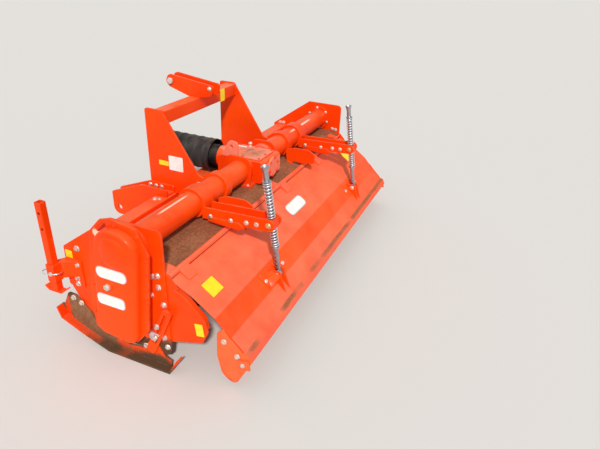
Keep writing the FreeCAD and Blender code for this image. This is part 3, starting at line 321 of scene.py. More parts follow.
def facing(point, direction, size=1.0, roll=0.0):
    """The matrix that sets a pattern, made upright at the origin, on a point, facing away."""
    turn = Vector((0, 0, 1)).rotation_difference(Vector(direction)).to_matrix().to_4x4()
    stand = Matrix.Translation(Vector(point)) @ turn
    return stand @ Matrix.Rotation(roll, 4, "Z") @ Matrix.Scale(size, 4)


def hexagon_bolt():
    """A bolt head of 19 mm across the flats on its washer, with their upper edges rounded."""
    washer_thick = 0.0025
    parts = []
    for sides, radius, low, height, edge, segments in (
        (20, 0.0145, 0, washer_thick, 0.0007, 1),
        (6, 0.011, washer_thick, 0.0075, 0.0014, 2),
    ):
        bpy.ops.mesh.primitive_cylinder_add(
            vertices=sides, radius=radius, depth=height, location=(0, 0, low + height / 2)
        )
        part = bpy.context.object
        bpy.ops.object.transform_apply(location=True)
        pick(part, lambda spot: spot.z > low + height * 0.9, "EDGE")
        bpy.ops.mesh.bevel(offset=edge, segments=segments)
        done_editing()
        parts.append(part)
    only(*parts)
    bpy.ops.object.join()
    return bpy.context.object


def plated_steel(name, colour, dirt=0.3, roughness=0.32):
    """Zinc plated or bare steel, a little clouded, with dust and dried soil in patches."""
    finish, shader, spot = new_finish(name)
    cloudy = grain(spot, 38, 5)
    fine = grain(spot, 160, 6, 0.7)
    tint = layer(ramp(cloudy, 0.3, 0.7), colour, tuple(c * 0.78 for c in colour))
    grime = times(ramp(grain(spot, 21, 6, 0.65), 0.46, 0.68), dirt)
    feed(shader.inputs["Base Color"], layer(grime, tint, FIELD_DUST))
    bare = count("SUBTRACT", 1, times(grime, 1.2))
    feed(shader.inputs["Metallic"], bare)
    rough = plus(roughness, times(grime, 0.5))
    rough = plus(rough, times(cloudy, 0.14))
    feed(shader.inputs["Roughness"], rough)
    rim = wire(finish.node_tree, "Bevel", {"Radius": 0.0008}, samples=4)
    uneven(shader, 0.35, 0.0006, fine, rim)
    return finish


bolt = hexagon_bolt()
bolt_zinc = plated_steel("bolt_zinc", (0.93, 0.91, 0.85), dirt=0.28, roughness=0.40)


def bolts(places, name, finish=bolt_zinc, body="frame"):
    """Copies of the bolt at each place, each with a mesh of its own, joined into one piece."""
    copies = []
    for matrix in places:
        copy = bolt.copy()
        copy.data = bolt.data.copy()
        copy.data.transform(matrix)
        bpy.context.collection.objects.link(copy)
        copies.append(copy)
    only(*copies)
    bpy.ops.object.join()
    settle(name, finish, body)


def both_sides(rows):
    """Places on the machine's two sides. Each row gives x, y and z on the right side, which way
    the bolt faces (1 outwards, -1 inwards, 0 up), its size and its roll."""
    places = []
    for side in (-1, 1):
        for x, y, z, way, size, roll in rows:
            towards = (side * way, 0, 0) if way else (0, 0, 1)
            places.append(facing((side * x, y, z), towards, size, roll))
    return places


plate_face, plate_inside = 1.060, 1.050
outer_bolts = both_sides([
    (plate_face, 0.244, 0.490, 1, 1.0, 0), (plate_face, -0.143, 0.466, 1, 1.0, 0.7),
    (plate_face, -0.170, 0.474, 1, 1.0, 1.4), (plate_face, -0.170, 0.418, 1, 1.0, 2.1),
    (plate_face, -0.129, 0.369, 1, 1.0, 2.8),
])
bolts(outer_bolts, "plate_bolts")
inner_bolts = both_sides([
    (plate_inside, 0.272, 0.492, -1, 0.9, 0), (plate_inside, 0.244, 0.494, -1, 0.9, 1),
    (plate_inside, -0.150, 0.508, -1, 0.9, 2), (plate_inside, -0.176, 0.504, -1, 0.9, 3),
])
bolts(inner_bolts, "plate_inner_bolts")


def sticker_vinyl(name, colour, soiling=0.25):
    """Printed vinyl, left blank: one colour, faded in clouds, scuffed and a little dusty."""
    finish, shader, spot = new_finish(name)
    cloudy = ramp(grain(spot, 30, 6), 0.3, 0.75)
    tint = layer(cloudy, colour, tuple(c * 0.86 for c in colour))
    overlay = times(ramp(grain(spot, 90, 7, 0.7), 0.52, 0.74), soiling)
    feed(shader.inputs["Base Color"], layer(overlay, tint, FIELD_DUST))
    rough = plus(0.36, times(overlay, 0.8))
    feed(shader.inputs["Roughness"], rough)
    return finish


def sticker(
    name, middle, across, upward, width, height, finish, body="frame", corner=0.004, thick=0.0008
):
    """A thin plate with round corners laid on a surface, its sides along across and upward."""
    bpy.ops.mesh.primitive_plane_add(size=1)
    piece = bpy.context.object
    piece.scale = (width, height, 1)
    bpy.ops.object.transform_apply(scale=True)
    pick(piece, lambda spot: True, "EDGE")
    bpy.ops.mesh.bevel(offset=corner, segments=6, affect="VERTICES")
    bpy.ops.mesh.select_all(action="SELECT")
    bpy.ops.mesh.extrude_region_move(TRANSFORM_OT_translate={"value": (0, 0, thick)})
    bpy.ops.mesh.select_all(action="SELECT")
    bpy.ops.mesh.normals_make_consistent(inside=False)
    done_editing()
    side = Vector(across).normalized()
    rise = (Vector(upward) - Vector(upward).dot(side) * side).normalized()
    turn = Matrix((side, rise, side.cross(rise))).transposed().to_4x4()
    piece.data.transform(Matrix.Translation(Vector(middle)) @ turn)
    return settle(name, finish, body)


yellow_vinyl = sticker_vinyl("yellow_vinyl", (0.97, 0.80, 0.01), soiling=0.18)
white_vinyl = sticker_vinyl("white_vinyl", (0.97, 0.96, 0.92), soiling=0.10)
rearward, upright, glue = (0, -1, 0), (0, 0, 1), 0.0004
for name, y, z, width, height, finish in (
    ("plate_sticker", 0.296, 0.440, 0.037, 0.056, yellow_vinyl),
    ("plate_sticker_foot", 0.298, 0.403, 0.030, 0.015, white_vinyl),
):
    middle = (-plate_face - glue, y, z)
    sticker(name, middle, rearward, upright, width, height, finish)

# Front beam and apron: a square tube across the machine, welded between the plates, with a
# bent steel apron below it that stops stones. The same orange paint, dustier on top.


def drawn(points, closed=False, wire_radius=0.0, roundness=0, widths=(1, 1)):
    """A line through the points, or a round wire along them, as the mesh of a new object."""
    curve = bpy.data.curves.new("line", "CURVE")
    curve.dimensions = "3D"
    curve.bevel_depth = wire_radius
    curve.bevel_resolution = roundness
    curve.use_fill_caps = True
    spline = curve.splines.new("POLY")
    spline.points.add(len(points) - 1)
    spline.use_cyclic_u = closed
    for index, spot in enumerate(points):
        spline.points[index].co = (*spot, 1)
        spline.points[index].radius = widths[index % 2]
    line = bpy.data.objects.new("line", curve)
    bpy.context.collection.objects.link(line)
    only(line)
    bpy.ops.object.convert(target="MESH")
    return bpy.context.object


def weld(name, points, body="frame", radius=0.004):
    """A weld bead along the points: a run of overlapping ripples, painted over."""
    spots = []
    for start, end in zip(points, points[1:]):
        start, end = Vector(start), Vector(end)
        steps = max(2, round((end - start).length / (radius * 0.9)))
        spots += [start.lerp(end, step / steps) for step in range(steps)]
    spots.append(Vector(points[-1]))
    drawn(spots, wire_radius=radius, roundness=1, widths=(0.88, 1.12))
    settle(name, plate_paint, body, smooth=60)


left_and_right = ((-1, "left"), (1, "right"))


def side_welds(name, x, seam, body="frame", radius=0.004):
    """A weld on each side of the machine, along points of (y, z) at a distance x."""
    for side, which in left_and_right:
        weld(f"{name}_{which}", [(side * x, y, z) for y, z in seam], body, radius)


weld_x = 1.0485
beam_low, beam_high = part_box("front_beam")
beam_paint = orange_paint("beam_paint", fade_and_sheen=0.85, dust=0.14)
dress(beam_paint, "front_beam", "front_apron")
rear_seam = [(beam_low.y, beam_high.z - 0.002), (beam_low.y, beam_low.z)]
side_welds("beam_weld", weld_x, rear_seam)
top_seam = [(beam_low.y + 0.004, beam_high.z), (beam_high.y - 0.004, beam_high.z)]
side_welds("beam_top_weld", weld_x, top_seam)

# Hood: a 5 mm deck bent over the rotor and two ribs on it. Dust and crumbs of soil fill the
# trough between the cross tube and the hinge, and the paint shows through at its left end.


def deck_dust(spot, patchy, fine):
    """Brown dust on the deck behind the tube, thinner towards the left plate."""
    across, along, height = axes(spot)
    trough = times(ramp(along, -0.215, -0.196), ramp(along, 0.14, 0.02))
    from_left = ramp(across, -1.06, -0.86)
    cover = plus(times(patchy, 0.9), times(from_left, 0.42))
    cover = times(ramp(cover, 0.40, 0.66), trough)
    return times(cover, plus(0.66, times(fine, 0.45)))


dress(orange_paint("deck_paint", fade_and_sheen=0.7, dust=0.7, extra=deck_dust), "hood_deck")
dress(orange_paint("rib_paint", fade_and_sheen=0.5, dust=0.3), "hood_rib_left", "hood_rib_right")
rib_foot = ((-0.120, 0.4965), (-0.155, 0.4855))
for name in ("left", "right"):
    rib_low, rib_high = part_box(f"hood_rib_{name}")
    for edge, x in (("near", rib_low.x), ("far", rib_high.x)):
        weld(f"rib_weld_{name}_{edge}", [(x, y, z) for y, z in rib_foot])

# Cross tubes: two thick tubes from the gearbox to the plates, the left one round the drive
# shaft. Each has a welded flange at both ends, bolted through the plate and to the gearbox.
tube_y, tube_z = -0.040, 0.580


def tube_highlight_streaks(spot, patchy, fine):
    """A long pale streak on top of each tube: a painted highlight along the top of the tube."""
    across, along, height = axes(spot)
    streaks = []
    for start, whole, fading, end, middle, half in (
        (-0.885, -0.835, -0.690, -0.640, -0.0490, 0.0065),
        (0.44, 0.52, 0.74, 0.82, -0.0685, 0.0075),
    ):
        reach = times(ramp(across, start, whole), ramp(across, end, fading))
        aside = count("SUBTRACT", along, middle, clamp=False)
        aside = count("ABSOLUTE", aside, clamp=False)
        streaks.append(times(reach, ramp(aside, half, half * 0.45)))
    on_top = ramp(height, 0.610, 0.618)
    streak = times(count("MAXIMUM", *streaks), on_top)
    return times(streak, plus(0.62, times(fine, 0.6)))


# The tubes' paint carries a painted highlight streak along the top of each tube.
tube_paint = orange_paint("tube_paint", fade_and_sheen=0.70, dust=0.16, overlay=tube_highlight_streaks)
dress(tube_paint, "drive_tube", "support_tube")


def ring_of(total, x, way, radius, phase, size, center=(tube_y, tube_z)):
    """Places for bolts in a ring round an axis along X, on a face at x that looks that way."""
    places = []
    for index in range(total):
        turn = phase + math.tau * index / total
        point = (x, center[0] + radius * math.cos(turn), center[1] + radius * math.sin(turn))
        places.append(facing(point, (way, 0, 0), size, turn))
    return places


end_face, end_ring, box_face, box_ring = 1.036, 0.0715, 0.144, 0.0655
end_places, box_places = [], []
for side in (1, -1):
    end_places += ring_of(6, side * end_face, -side, end_ring, 0.35, 0.72)
    box_places += ring_of(8, side * box_face, side, box_ring, 0.2, 0.38)
bolts(end_places, "tube_end_bolts")
painted_bolts = orange_paint("painted_bolts", fade_and_sheen=0.3, dust=0.3)
bolts(box_places, "tube_inner_bolts", painted_bolts)


def round_bead(name, x, radius=0.0615, steps=40):
    """A weld bead that runs round a cross tube, where it enters its flange."""
    points = []
    for step in range(steps + 1):
        turn = math.tau * step / steps
        points.append((x, tube_y + radius * math.cos(turn), tube_z + radius * math.sin(turn)))
    weld(name, points, radius=0.0035)


for side, name in left_and_right:
    round_bead(f"tube_bead_{name}", side * (end_face - 0.0015))
    round_bead(f"tube_inner_bead_{name}", side * (box_face + 0.0015))

# Gearbox: a cast housing with a flat lid, held in a welded cradle on the hood. The lid is pale with
# settled dust, faded paint and a painted sky sheen, and darker where hands and oil have been; a breather
# stands in it, and a white strip on its front edge is a painted highlight.


def far_from(spot, point):
    """How far each place on the surface is from a point."""
    made = wire(spot.id_data, "VectorMath", {1: point}, {0: spot}, operation="DISTANCE")
    return made.outputs["Value"]


def lid_dust(spot, patchy, fine):
    """Dust round the middle of the lid."""
    near = ramp(far_from(spot, (0.01, -0.03, 0.64)), 0.13, 0.03)
    return times(times(ramp(patchy, 0.40, 0.62), near), 0.72)


def lid_sheen_and_fade(spot, patchy, fine):
    """The lid and the rear face are paler: faded paint and a painted sheen, the sky's reflection on the
    lid and painted light on the rear face.
    """
    across, along, height = axes(spot)
    top = ramp(height, 0.634, 0.638)
    rear = times(ramp(along, -0.163, -0.1645), 0.8)
    cloud = plus(0.08, times(patchy, 0.42))
    return times(count("MAXIMUM", top, rear), cloud)


# The gearbox's lid and rear face carry faded paint and a painted sheen.
gearbox_paint = orange_paint(
    "gearbox_paint", fade_and_sheen=1.0, dust=0.16, extra=lid_dust, overlay=lid_sheen_and_fade, lean=0.2
)
dress(gearbox_paint, "gearbox_housing", "gearbox_cover")
dress(orange_paint("cradle_paint", fade_and_sheen=0.6, dust=0.5), "gearbox_cradle")
lid_top, cradle_top, rear_face = 0.640, 0.508, -0.177
lid_bolts = [(x, y) for x in (-0.080, 0, 0.080) for y in (-0.124, 0.073)]
lid_bolts += [(-0.081, -0.025), (0.081, -0.025)]
places = [facing((x, y, lid_top), (0, 0, 1), 0.5, x * 40) for x, y in lid_bolts]
bolts(places, "lid_bolts", painted_bolts)
cradle_rows = [(0.160, y, cradle_top, 0, 0.6207, y * 30) for y in (-0.098, 0.005, 0.110)]
bolts(both_sides(cradle_rows), "cradle_bolts")
cap_ring = 0.050
places = []
for index in range(6):
    turn = math.tau * index / 6 + 0.3
    point = (cap_ring * math.cos(turn), rear_face, tube_z + cap_ring * math.sin(turn))
    places.append(facing(point, (0, -1, 0), 0.55, turn))
bolts(places, "rear_cap_bolts", painted_bolts)


def turned(profile, center, axis, steps=48):
    """A closed round shape: a profile of (radius, height) points spun about an axis."""
    piece = drawn([(radius, 0, height) for radius, height in profile])
    bpy.ops.object.mode_set(mode="EDIT")
    bpy.ops.mesh.select_all(action="SELECT")
    bpy.ops.mesh.spin(steps=steps, angle=math.tau, center=(0, 0, 0), axis=(0, 0, 1))
    bpy.ops.mesh.select_all(action="SELECT")
    bpy.ops.mesh.remove_doubles(threshold=0.00002)
    bpy.ops.mesh.normals_make_consistent(inside=False)
    done_editing()
    piece.data.transform(facing(center, axis))
    return piece


turned(
    [(0, 0), (0.009, 0), (0.009, 0.005), (0.006, 0.007), (0.006, 0.014), (0.010, 0.015),
     (0.011, 0.018), (0.011, 0.024), (0.009, 0.027), (0, 0.028)],
    (0.075, 0.010, lid_top),
    (0, 0, 1),
    24,
)
settle("breather", bolt_zinc, "frame")
# A white strip on the lid's front edge: a painted highlight where the edge catches the light.
middle = (0.058, 0.052, lid_top + 0.0003)
sticker("lid_edge_highlight", middle, rearward, (1, 0, 0), 0.052, 0.016, white_vinyl, corner=0.002)

# Input shaft and its guard: splined bare steel under a ribbed black plastic bell, which a
# collar holds on the gearbox's snout. The plastic is scuffed, and dusty on top.


def black_plastic():
    """Moulded plastic gone grey on top, with fine scratches and brown dust."""
    finish, shader, spot = new_finish("guard_plastic")
    cloudy = grain(spot, 14, 6)
    scratched = grain(spot, 60, 6, 0.7, (1, 0.12, 1))
    tint = layer(ramp(cloudy, 0.35, 0.7), (0.006, 0.006, 0.007), (0.020, 0.019, 0.018))
    upward = times(ramp(looking_up(spot), 0.35, 1.0), ramp(cloudy, 0.35, 0.6))
    dusty = times(upward, 0.30)
    tint = layer(dusty, tint, (0.16, 0.125, 0.085))
    streaked = times(ramp(scratched, 0.60, 0.70), 0.35)
    feed(shader.inputs["Base Color"], layer(streaked, tint, (0.09, 0.088, 0.085)))
    rough = plus(0.42, times(cloudy, 0.3))
    feed(shader.inputs["Roughness"], rough)
    uneven(shader, 0.3, 0.0008, scratched)
    return finish


snout_y, snout_fit = 0.160, 0.0583
bell_rear, bell_front, bell_inner = 0.038, 0.365, 0.0885
profile = [(snout_fit, 0), (0.062, 0), (0.062, 0.086), (bell_inner, 0.086), (bell_inner, 0.041)]
profile += [(0.0895, bell_rear), (0.093, bell_rear), (0.094, 0.042), (0.094, 0.050), (0.0915, 0.055)]
ribs, ribs_start = 5, 0.055
pitch = (bell_front - 0.015 - ribs_start) / ribs
one_rib = [(0.30, 0.0913), (0.36, 0.0925), (0.42, 0.0938), (0.52, 0.0938), (0.58, 0.0925), (0.64, 0.0911)]
for index in range(ribs):
    profile += [(radius, ribs_start + (index + share) * pitch) for share, radius in one_rib]
profile += [(0.0912, bell_front - 0.014), (0.0938, bell_front - 0.010), (0.0938, bell_front - 0.002)]
profile += [(0.092, bell_front), (0.0885, bell_front - 0.001), (bell_inner, bell_front - 0.012)]
profile += [(bell_inner, 0.092), (snout_fit, 0.092), (snout_fit, 0)]
turned(profile, (0, snout_y, tube_z), (0, 1, 0), 64)
guard = settle("guard_bell", black_plastic(), "frame", 50)
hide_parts("input_guard")
dress(plated_steel("shaft_steel", (0.42, 0.41, 0.40), dirt=0.45), "input_shaft")

# Headstock: two upright plates with bolted feet, joined by a box beam, with a bracket for the
# top link. Blank stickers are stuck on the left plate and the beam.
head_paint = orange_paint("headstock_paint", fade_and_sheen=0.45, dust=0.12)
dress(head_paint, "headstock_left", "headstock_right", "top_link_bracket")


def boot_scuffs(spot, patchy, fine):
    """Paint rubbed pale on the top of the beam, beside the bracket."""
    across, along, height = axes(spot)
    place = times(ramp(across, 0.04, 0.07), ramp(across, 0.20, 0.14))
    place = times(place, ramp(height, 0.905, 0.912))
    return times(place, ramp(plus(patchy, 0.2), 0.45, 0.75))


head_beam_paint = orange_paint("head_beam_paint", fade_and_sheen=1.0, dust=0.05, overlay=boot_scuffs, lean=0.1)
dress(head_beam_paint, "headstock_beam")
head_face, head_beam_rear = 0.374, 0.268
for name, middle, across, width, height, finish in (
    ("head_strip", (-head_face - glue, 0.284, 0.640), rearward, 0.060, 0.026, yellow_vinyl),
    ("head_plate", (-head_face - glue, 0.208, 0.6485), rearward, 0.086, 0.079, white_vinyl),
    ("beam_strip", (0.2065, head_beam_rear - glue, 0.8775), (1, 0, 0), 0.047, 0.073, yellow_vinyl),
):
    sticker(name, middle, across, upright, width, height, finish)
head_inside, ear_face, bracket_side, hitch_top, foot_top = 0.362, 0.386, 0.039, 0.480, 0.490
head_bolts = both_sides([
    (ear_face, 0.376, 0.503, 1, 0.85, 15.04), (ear_face, 0.340, 0.503, 1, 0.85, 13.6),
    (ear_face, 0.304, 0.503, 1, 0.85, 12.16), (head_face, 0.074, 0.562, 1, 0.85, 1),
    (head_inside, 0.074, 0.562, -1, 0.85, 2), (bracket_side, 0.201, 0.970, 1, 0.85, 0.5),
    (0.490, 0.270, hitch_top, 0, 0.90, 0.4), (0.478, 0.250, hitch_top, 0, 0.70, 0.4),
    (0.332, 0.243, foot_top, 0, 0.95, 0.2), (0.332, 0.280, foot_top, 0, 0.95, 0.9),
])
bolts(head_bolts, "headstock_bolts")
beam_seam = [(0.2665, 0.915), (0.2665, 0.843), (0.3395, 0.843), (0.3395, 0.915)]
side_welds("head_weld", 0.3605, beam_seam, radius=0.0035)

# Lower hitch and top link pin: paired ears of 12 mm plate, bolted to the beam and drilled for the
# lower link pins. A plated pin with a wide head stays in the top link's bracket.
dress(orange_paint("hitch_paint", fade_and_sheen=0.5, dust=0.3), "lower_hitch_left", "lower_hitch_right")
pin_head, pin_end = -0.047, 0.047
turned(
    [(0, pin_head - 0.006), (0.016, pin_head - 0.006), (0.018, pin_head - 0.003),
     (0.018, pin_head + 0.004), (0.0125, pin_head + 0.004), (0.0125, pin_end),
     (0.010, pin_end + 0.004), (0, pin_end + 0.004)],
    (0, 0.450, 0.985),
    (1, 0, 0),
    28,
)
settle("top_link_pin", bolt_zinc, "frame")

# Drive case: a deep pressed cover with a dome over the upper gear, bolted to a flange with a slot
# to lift the machine by. It leans with the gears' line, with two blank badges and an oil plug.
lean_angle = math.atan2(0.040, 0.342)
rotor_z = 0.238


def case_spot(across, along, x):
    """A point on the case: across and along its leaning middle line, at x."""
    y = across * math.cos(lean_angle) - along * math.sin(lean_angle)
    z = rotor_z + across * math.sin(lean_angle) + along * math.cos(lean_angle)
    return Vector((x, y, z))


def cut_plate(outline, push, bevels=(0.0, 0)):
    """A plate: a closed outline filled and pushed out, with its edges rounded."""
    piece = drawn(outline, closed=True)
    bpy.ops.object.mode_set(mode="EDIT")
    bpy.ops.mesh.select_all(action="SELECT")
    bpy.ops.mesh.edge_face_add()
    bpy.ops.mesh.extrude_region_move(TRANSFORM_OT_translate={"value": push})
    bpy.ops.mesh.select_all(action="SELECT")
    bpy.ops.mesh.normals_make_consistent(inside=False)
    done_editing()
    if bevels[1]:
        rounding = piece.modifiers.new("rounding", "BEVEL")
        rounding.width, rounding.segments = bevels
        rounding.limit_method = "ANGLE"
        rounding.angle_limit = math.radians(50)
        bpy.ops.object.modifier_apply(modifier="rounding")
    return piece


def side_plates(name, outline, inside, thick, bevels, finish, body="frame"):
    """A plate on each side of the machine, with an outline of (y, z), from a distance outwards."""
    for side, which in left_and_right:
        cut_plate([(side * inside, y, z) for y, z in outline], (side * thick, 0, 0), bevels)
        settle(f"{name}_{which}", finish, body)


def rounded(corners, steps=8):
    """The points of an outline whose corners, each (across, along, radius), are rounded."""
    points = []
    total = len(corners)
    for index, (across, along, radius) in enumerate(corners):
        corner = Vector((across, along))
        before = (Vector(corners[index - 1][:2]) - corner).normalized()
        after = (Vector(corners[(index + 1) % total][:2]) - corner).normalized()
        half = before.angle(after) / 2
        middle = corner + (before + after).normalized() * radius / math.sin(half)
        start = corner + before * radius / math.tan(half) - middle
        end = corner + after * radius / math.tan(half) - middle
        for step in range(steps + 1):
            share = step / steps
            arm = (start * (1 - share) + end * share).normalized() * radius
            points.append(middle + arm)
    return points


case_half, case_bottom, case_top = 0.104, -0.0915, 0.4483
case_face, case_back = -1.150, -1.1115
flange_face, dome_rise = -1.112, 0.0130
outline = rounded(
    [(-case_half, case_bottom, 0.050), (case_half, case_bottom, 0.050),
     (case_half, case_top, 0.0936), (-case_half, case_top, 0.0936)],
    12,
)
cover = cut_plate([case_spot(u, v, case_back) for u, v in outline], (case_face - case_back, 0, 0))
pick(cover, lambda spot: spot.x < case_face + 0.001, "EDGE")
bpy.ops.mesh.bevel(offset=0.019, segments=6)
done_editing()
dome = turned(
    [(0, dome_rise), (0.023, 0.0128), (0.039, 0.0120), (0.050, 0.0106), (0.057, 0.0086),
     (0.063, 0.0058), (0.0675, 0.0026), (0.070, 0.0008), (0.0725, -0.0010), (0.075, -0.0020)],
    case_spot(0, 0.3525, case_face),
    (-1, 0, 0),
    64,
)
only(dome, cover)
bpy.ops.object.join()
case_paint = orange_paint("case_paint", fade_and_sheen=0.5, dust=0.05, soil_height=0.10)
cover = settle("drive_case_cover", case_paint, smooth=28)
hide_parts("drive_case")


def sling_marks_and_highlight(spot, patchy, fine):
    """Pale paint on the lower edge of the lifting slot: paint rubbed by slings and hooks, and a painted
    highlight on the edge.
    """
    away = far_from(spot, (flange_face, 0.062, 0.640))
    ragged = plus(away, times(fine, 0.012), clamp=False)
    return ramp(ragged, 0.030, 0.022)


flange_paint = orange_paint("flange_paint", fade_and_sheen=0.5, dust=0.05, soil_height=0.10, overlay=sling_marks_and_highlight)
dress(flange_paint, "drive_case_flange")
flange_bolts = [
    (0.020, 0.456), (-0.087, 0.444), (-0.127, 0.352), (-0.137, 0.150), (-0.135, -0.030),
    (0.130, 0.340), (0.138, 0.130), (0.140, -0.020),
]
leftward = (-1, 0, 0)
places = [facing(case_spot(u, v, flange_face), leftward, 0.72, v * 30) for u, v in flange_bolts]
bolts(places, "case_bolts", painted_bolts)
plug_point = (case_face, 0.006, 0.424)
turned(
    [(0, 0.0045), (0.0185, 0.0045), (0.0205, 0.003), (0.0215, -0.002), (0, -0.002)],
    plug_point,
    leftward,
    32,
)
settle("oil_plug_boss", case_paint)
turned(
    [(0, 0.0165), (0.009, 0.0165), (0.011, 0.015), (0.0148, 0.014), (0.0158, 0.011),
     (0.0158, 0.004), (0, 0.004)],
    plug_point,
    leftward,
    6,
)
settle("oil_plug", bolt_zinc, "frame")
pale_grey = sticker_vinyl("pale_grey", (0.60, 0.60, 0.62), soiling=0.10)
rim_wide, rim_thick, badge_thick = 0.006, 0.0026, 0.0034
for name, middle, width, height, corner in (
    ("upper_badge", (-0.018, 0.487), 0.145, 0.048, 0.0235),
    ("lower_badge", (0.002, 0.352), 0.135, 0.049, 0.018),
):
    sticker(
        f"{name}_rim", (case_face + 0.0002, *middle), rearward, upright,
        width + rim_wide, height + rim_wide, pale_grey, "frame", corner, rim_thick,
    )
    sticker(
        name, (case_face, *middle), rearward, upright,
        width, height, white_vinyl, "frame", corner, badge_thick,
    )

# Rotor and its bearings: a tube with nine flanges that carry bent steel blades, each on two
# bolts. The steel is rusty and caked with soil, and the soil has polished the blades' ends.


def soil_worn_steel():
    """Dark rusty steel with dried soil near the tube and bright scoured metal at the tips."""
    finish, shader, spot = new_finish("soil_worn_steel")
    flat = wire(finish.node_tree, "VectorMath", {1: (0, 1, 1)}, {0: spot}, operation="MULTIPLY")
    reach = far_from(flat.outputs[0], (0, 0, rotor_z))
    patchy = grain(spot, 16, 8, 0.65)
    fine = grain(spot, 120, 6, 0.7)
    rust = layer(ramp(patchy, 0.35, 0.65), (0.045, 0.028, 0.020), (0.16, 0.068, 0.030))
    scoured = times(ramp(reach, 0.165, 0.215), ramp(patchy, 0.36, 0.52))
    colour = layer(scoured, rust, (0.36, 0.34, 0.32))
    caked = times(ramp(patchy, 0.50, 0.58), count("SUBTRACT", 1.0, scoured))
    feed(shader.inputs["Base Color"], layer(caked, colour, DRIED_SOIL))
    feed(shader.inputs["Metallic"], times(scoured, 0.95))
    rough = count("SUBTRACT", 0.88, times(scoured, 0.5))
    feed(shader.inputs["Roughness"], rough)
    lumps = plus(times(caked, 0.7), times(fine, 0.3))
    uneven(shader, 0.7, 0.003, lumps)
    return finish


blade_steel = soil_worn_steel()
dress(blade_steel, "rotor")
bearing_paint = orange_paint("bearing_paint", fade_and_sheen=0.4, dust=0.4, soil_height=0.22)
dress(bearing_paint, "rotor_bearing_left", "rotor_bearing_right")
flanges, flange_pitch, blades_each = 9, 0.230, 6
blade_face, flange_back = 0.014, 0.006
places = []
for flange in range(flanges):
    middle = (flange - (flanges - 1) / 2) * flange_pitch
    for blade in range(blades_each):
        side = 1 if blade % 2 == 0 else -1
        turn = math.radians(blade * 360 / blades_each + flange * 360 / (flanges * 2))
        for across, up in ((-0.016, 0.074), (0.016, 0.092)):
            y = across * math.cos(turn) - up * math.sin(turn)
            z = rotor_z + across * math.sin(turn) + up * math.cos(turn)
            places.append(facing((middle + side * blade_face, y, z), (side, 0, 0), 0.85, turn))
            places.append(facing((middle - side * flange_back, y, z), (-side, 0, 0), 0.85, turn))
bolts(places, "blade_bolts", blade_steel, "rotor")
bearing_face, bearing_ring = 1.106, 0.068
places = ring_of(6, bearing_face, 1, bearing_ring, 0, 0.8, (0, rotor_z))
bolts(places, "bearing_bolts")

# Levelling board: a 5 mm sheet with soft bends, hung on a long hinge behind the hood. Its paint
# has faded, its upper sheet and ledge are painted paler as painted light, strips of dust lie on the ledge
# above its lip, and two lugs hold the spring rods.
soft_bend, second_bend = Vector((0, -0.425, 0.335)), Vector((0, -0.495, 0.258))
crown = Vector((0, -0.319, 0.411))
board_half, lug_x = 1.042, 0.575


def ledge_soil(spot, patchy, fine):
    """Broken strips of brown dust along the ledge and a thin veil in patches."""
    across, along, height = axes(spot)
    wander = count("SUBTRACT", patchy, 0.5, clamp=False)
    wander = plus(along, times(wander, 0.012, clamp=False), clamp=False)
    band = times(ramp(wander, -0.554, -0.561), ramp(wander, -0.582, -0.575))
    broken = grain(spot, 1.9, 3, 0.5, (1, 0.05, 0.05))
    strips = times(band, ramp(broken, 0.43, 0.50))
    strips = times(strips, plus(0.50, times(fine, 0.5)))
    veil = times(ramp(patchy, 0.52, 0.78), 0.06)
    return count("MAXIMUM", strips, veil)


def board_sheen_and_fade(spot, patchy, fine):
    """The sheet above the first bend and the ledge below the second are paler, and more
    towards the left: faded paint and painted light, the lighter shading of these panels against the
    middle one."""
    across, along, height = axes(spot)
    sheet = ramp(along, soft_bend.y - 0.004, soft_bend.y + 0.004)
    ledge = ramp(along, second_bend.y + 0.003, second_bend.y - 0.004)
    cloud = plus(0.055, times(patchy, 0.12))
    faded_and_sheen = times(count("MAXIMUM", sheet, ledge), cloud)
    return times(faded_and_sheen, ramp(across, 1.30, -0.30))


# The board's paint carries faded paint and painted light on its upper sheet and ledge.
board_paint = orange_paint(
    "board_paint", fade_and_sheen=0.55, dust=0.08, soil_height=0.11, extra=ledge_soil, overlay=board_sheen_and_fade
)
dress(board_paint, "levelling_board", "board_hinge", "hood_hinge")
cheek_paint = orange_paint("cheek_paint", fade_and_sheen=1.0, dust=0.10, soil_height=0.05, lean=-0.6)
dress(cheek_paint, "board_cheek_left", "board_cheek_right")
lug_paint = orange_paint("lug_paint", fade_and_sheen=0.2, dust=0.2)
dress(lug_paint, "board_lug_left", "board_lug_right")


def on_board(x, y, upper, lower):
    """A point on the board's upper face, at x and y, between two of its bends."""
    share = (y - upper.y) / (lower.y - upper.y)
    return Vector((x, y, upper.z + (lower.z - upper.z) * share))


upper_rise = (crown - soft_bend).normalized()
upper_normal = Vector((1, 0, 0)).cross(upper_rise)
for name, x, y, lift, width, height, finish, corner in (
    ("board_badge_rim", -0.045, -0.340, 0.0003, 0.200, 0.070, pale_grey, 0.026),
    ("board_diamond", -0.9265, -0.343, 0.0003, 0.080, 0.072, yellow_vinyl, 0.003),
    ("board_square", 0.850, -0.337, 0.0003, 0.085, 0.080, yellow_vinyl, 0.003),
    ("board_badge", -0.045, -0.340, 0.0009, 0.190, 0.060, white_vinyl, 0.022),
):
    middle = on_board(x, y, crown, soft_bend) + upper_normal * lift
    sticker(name, middle, (1, 0, 0), upper_rise, width, height, finish, "levelling_board", corner)
lower_rise = (soft_bend - second_bend).normalized()
lower_normal = Vector((1, 0, 0)).cross(lower_rise)
foot_corners = [(0.690, -0.430), (0.668, -0.490), (0.602, -0.492), (0.602, -0.428)]
foot_thick = 0.004
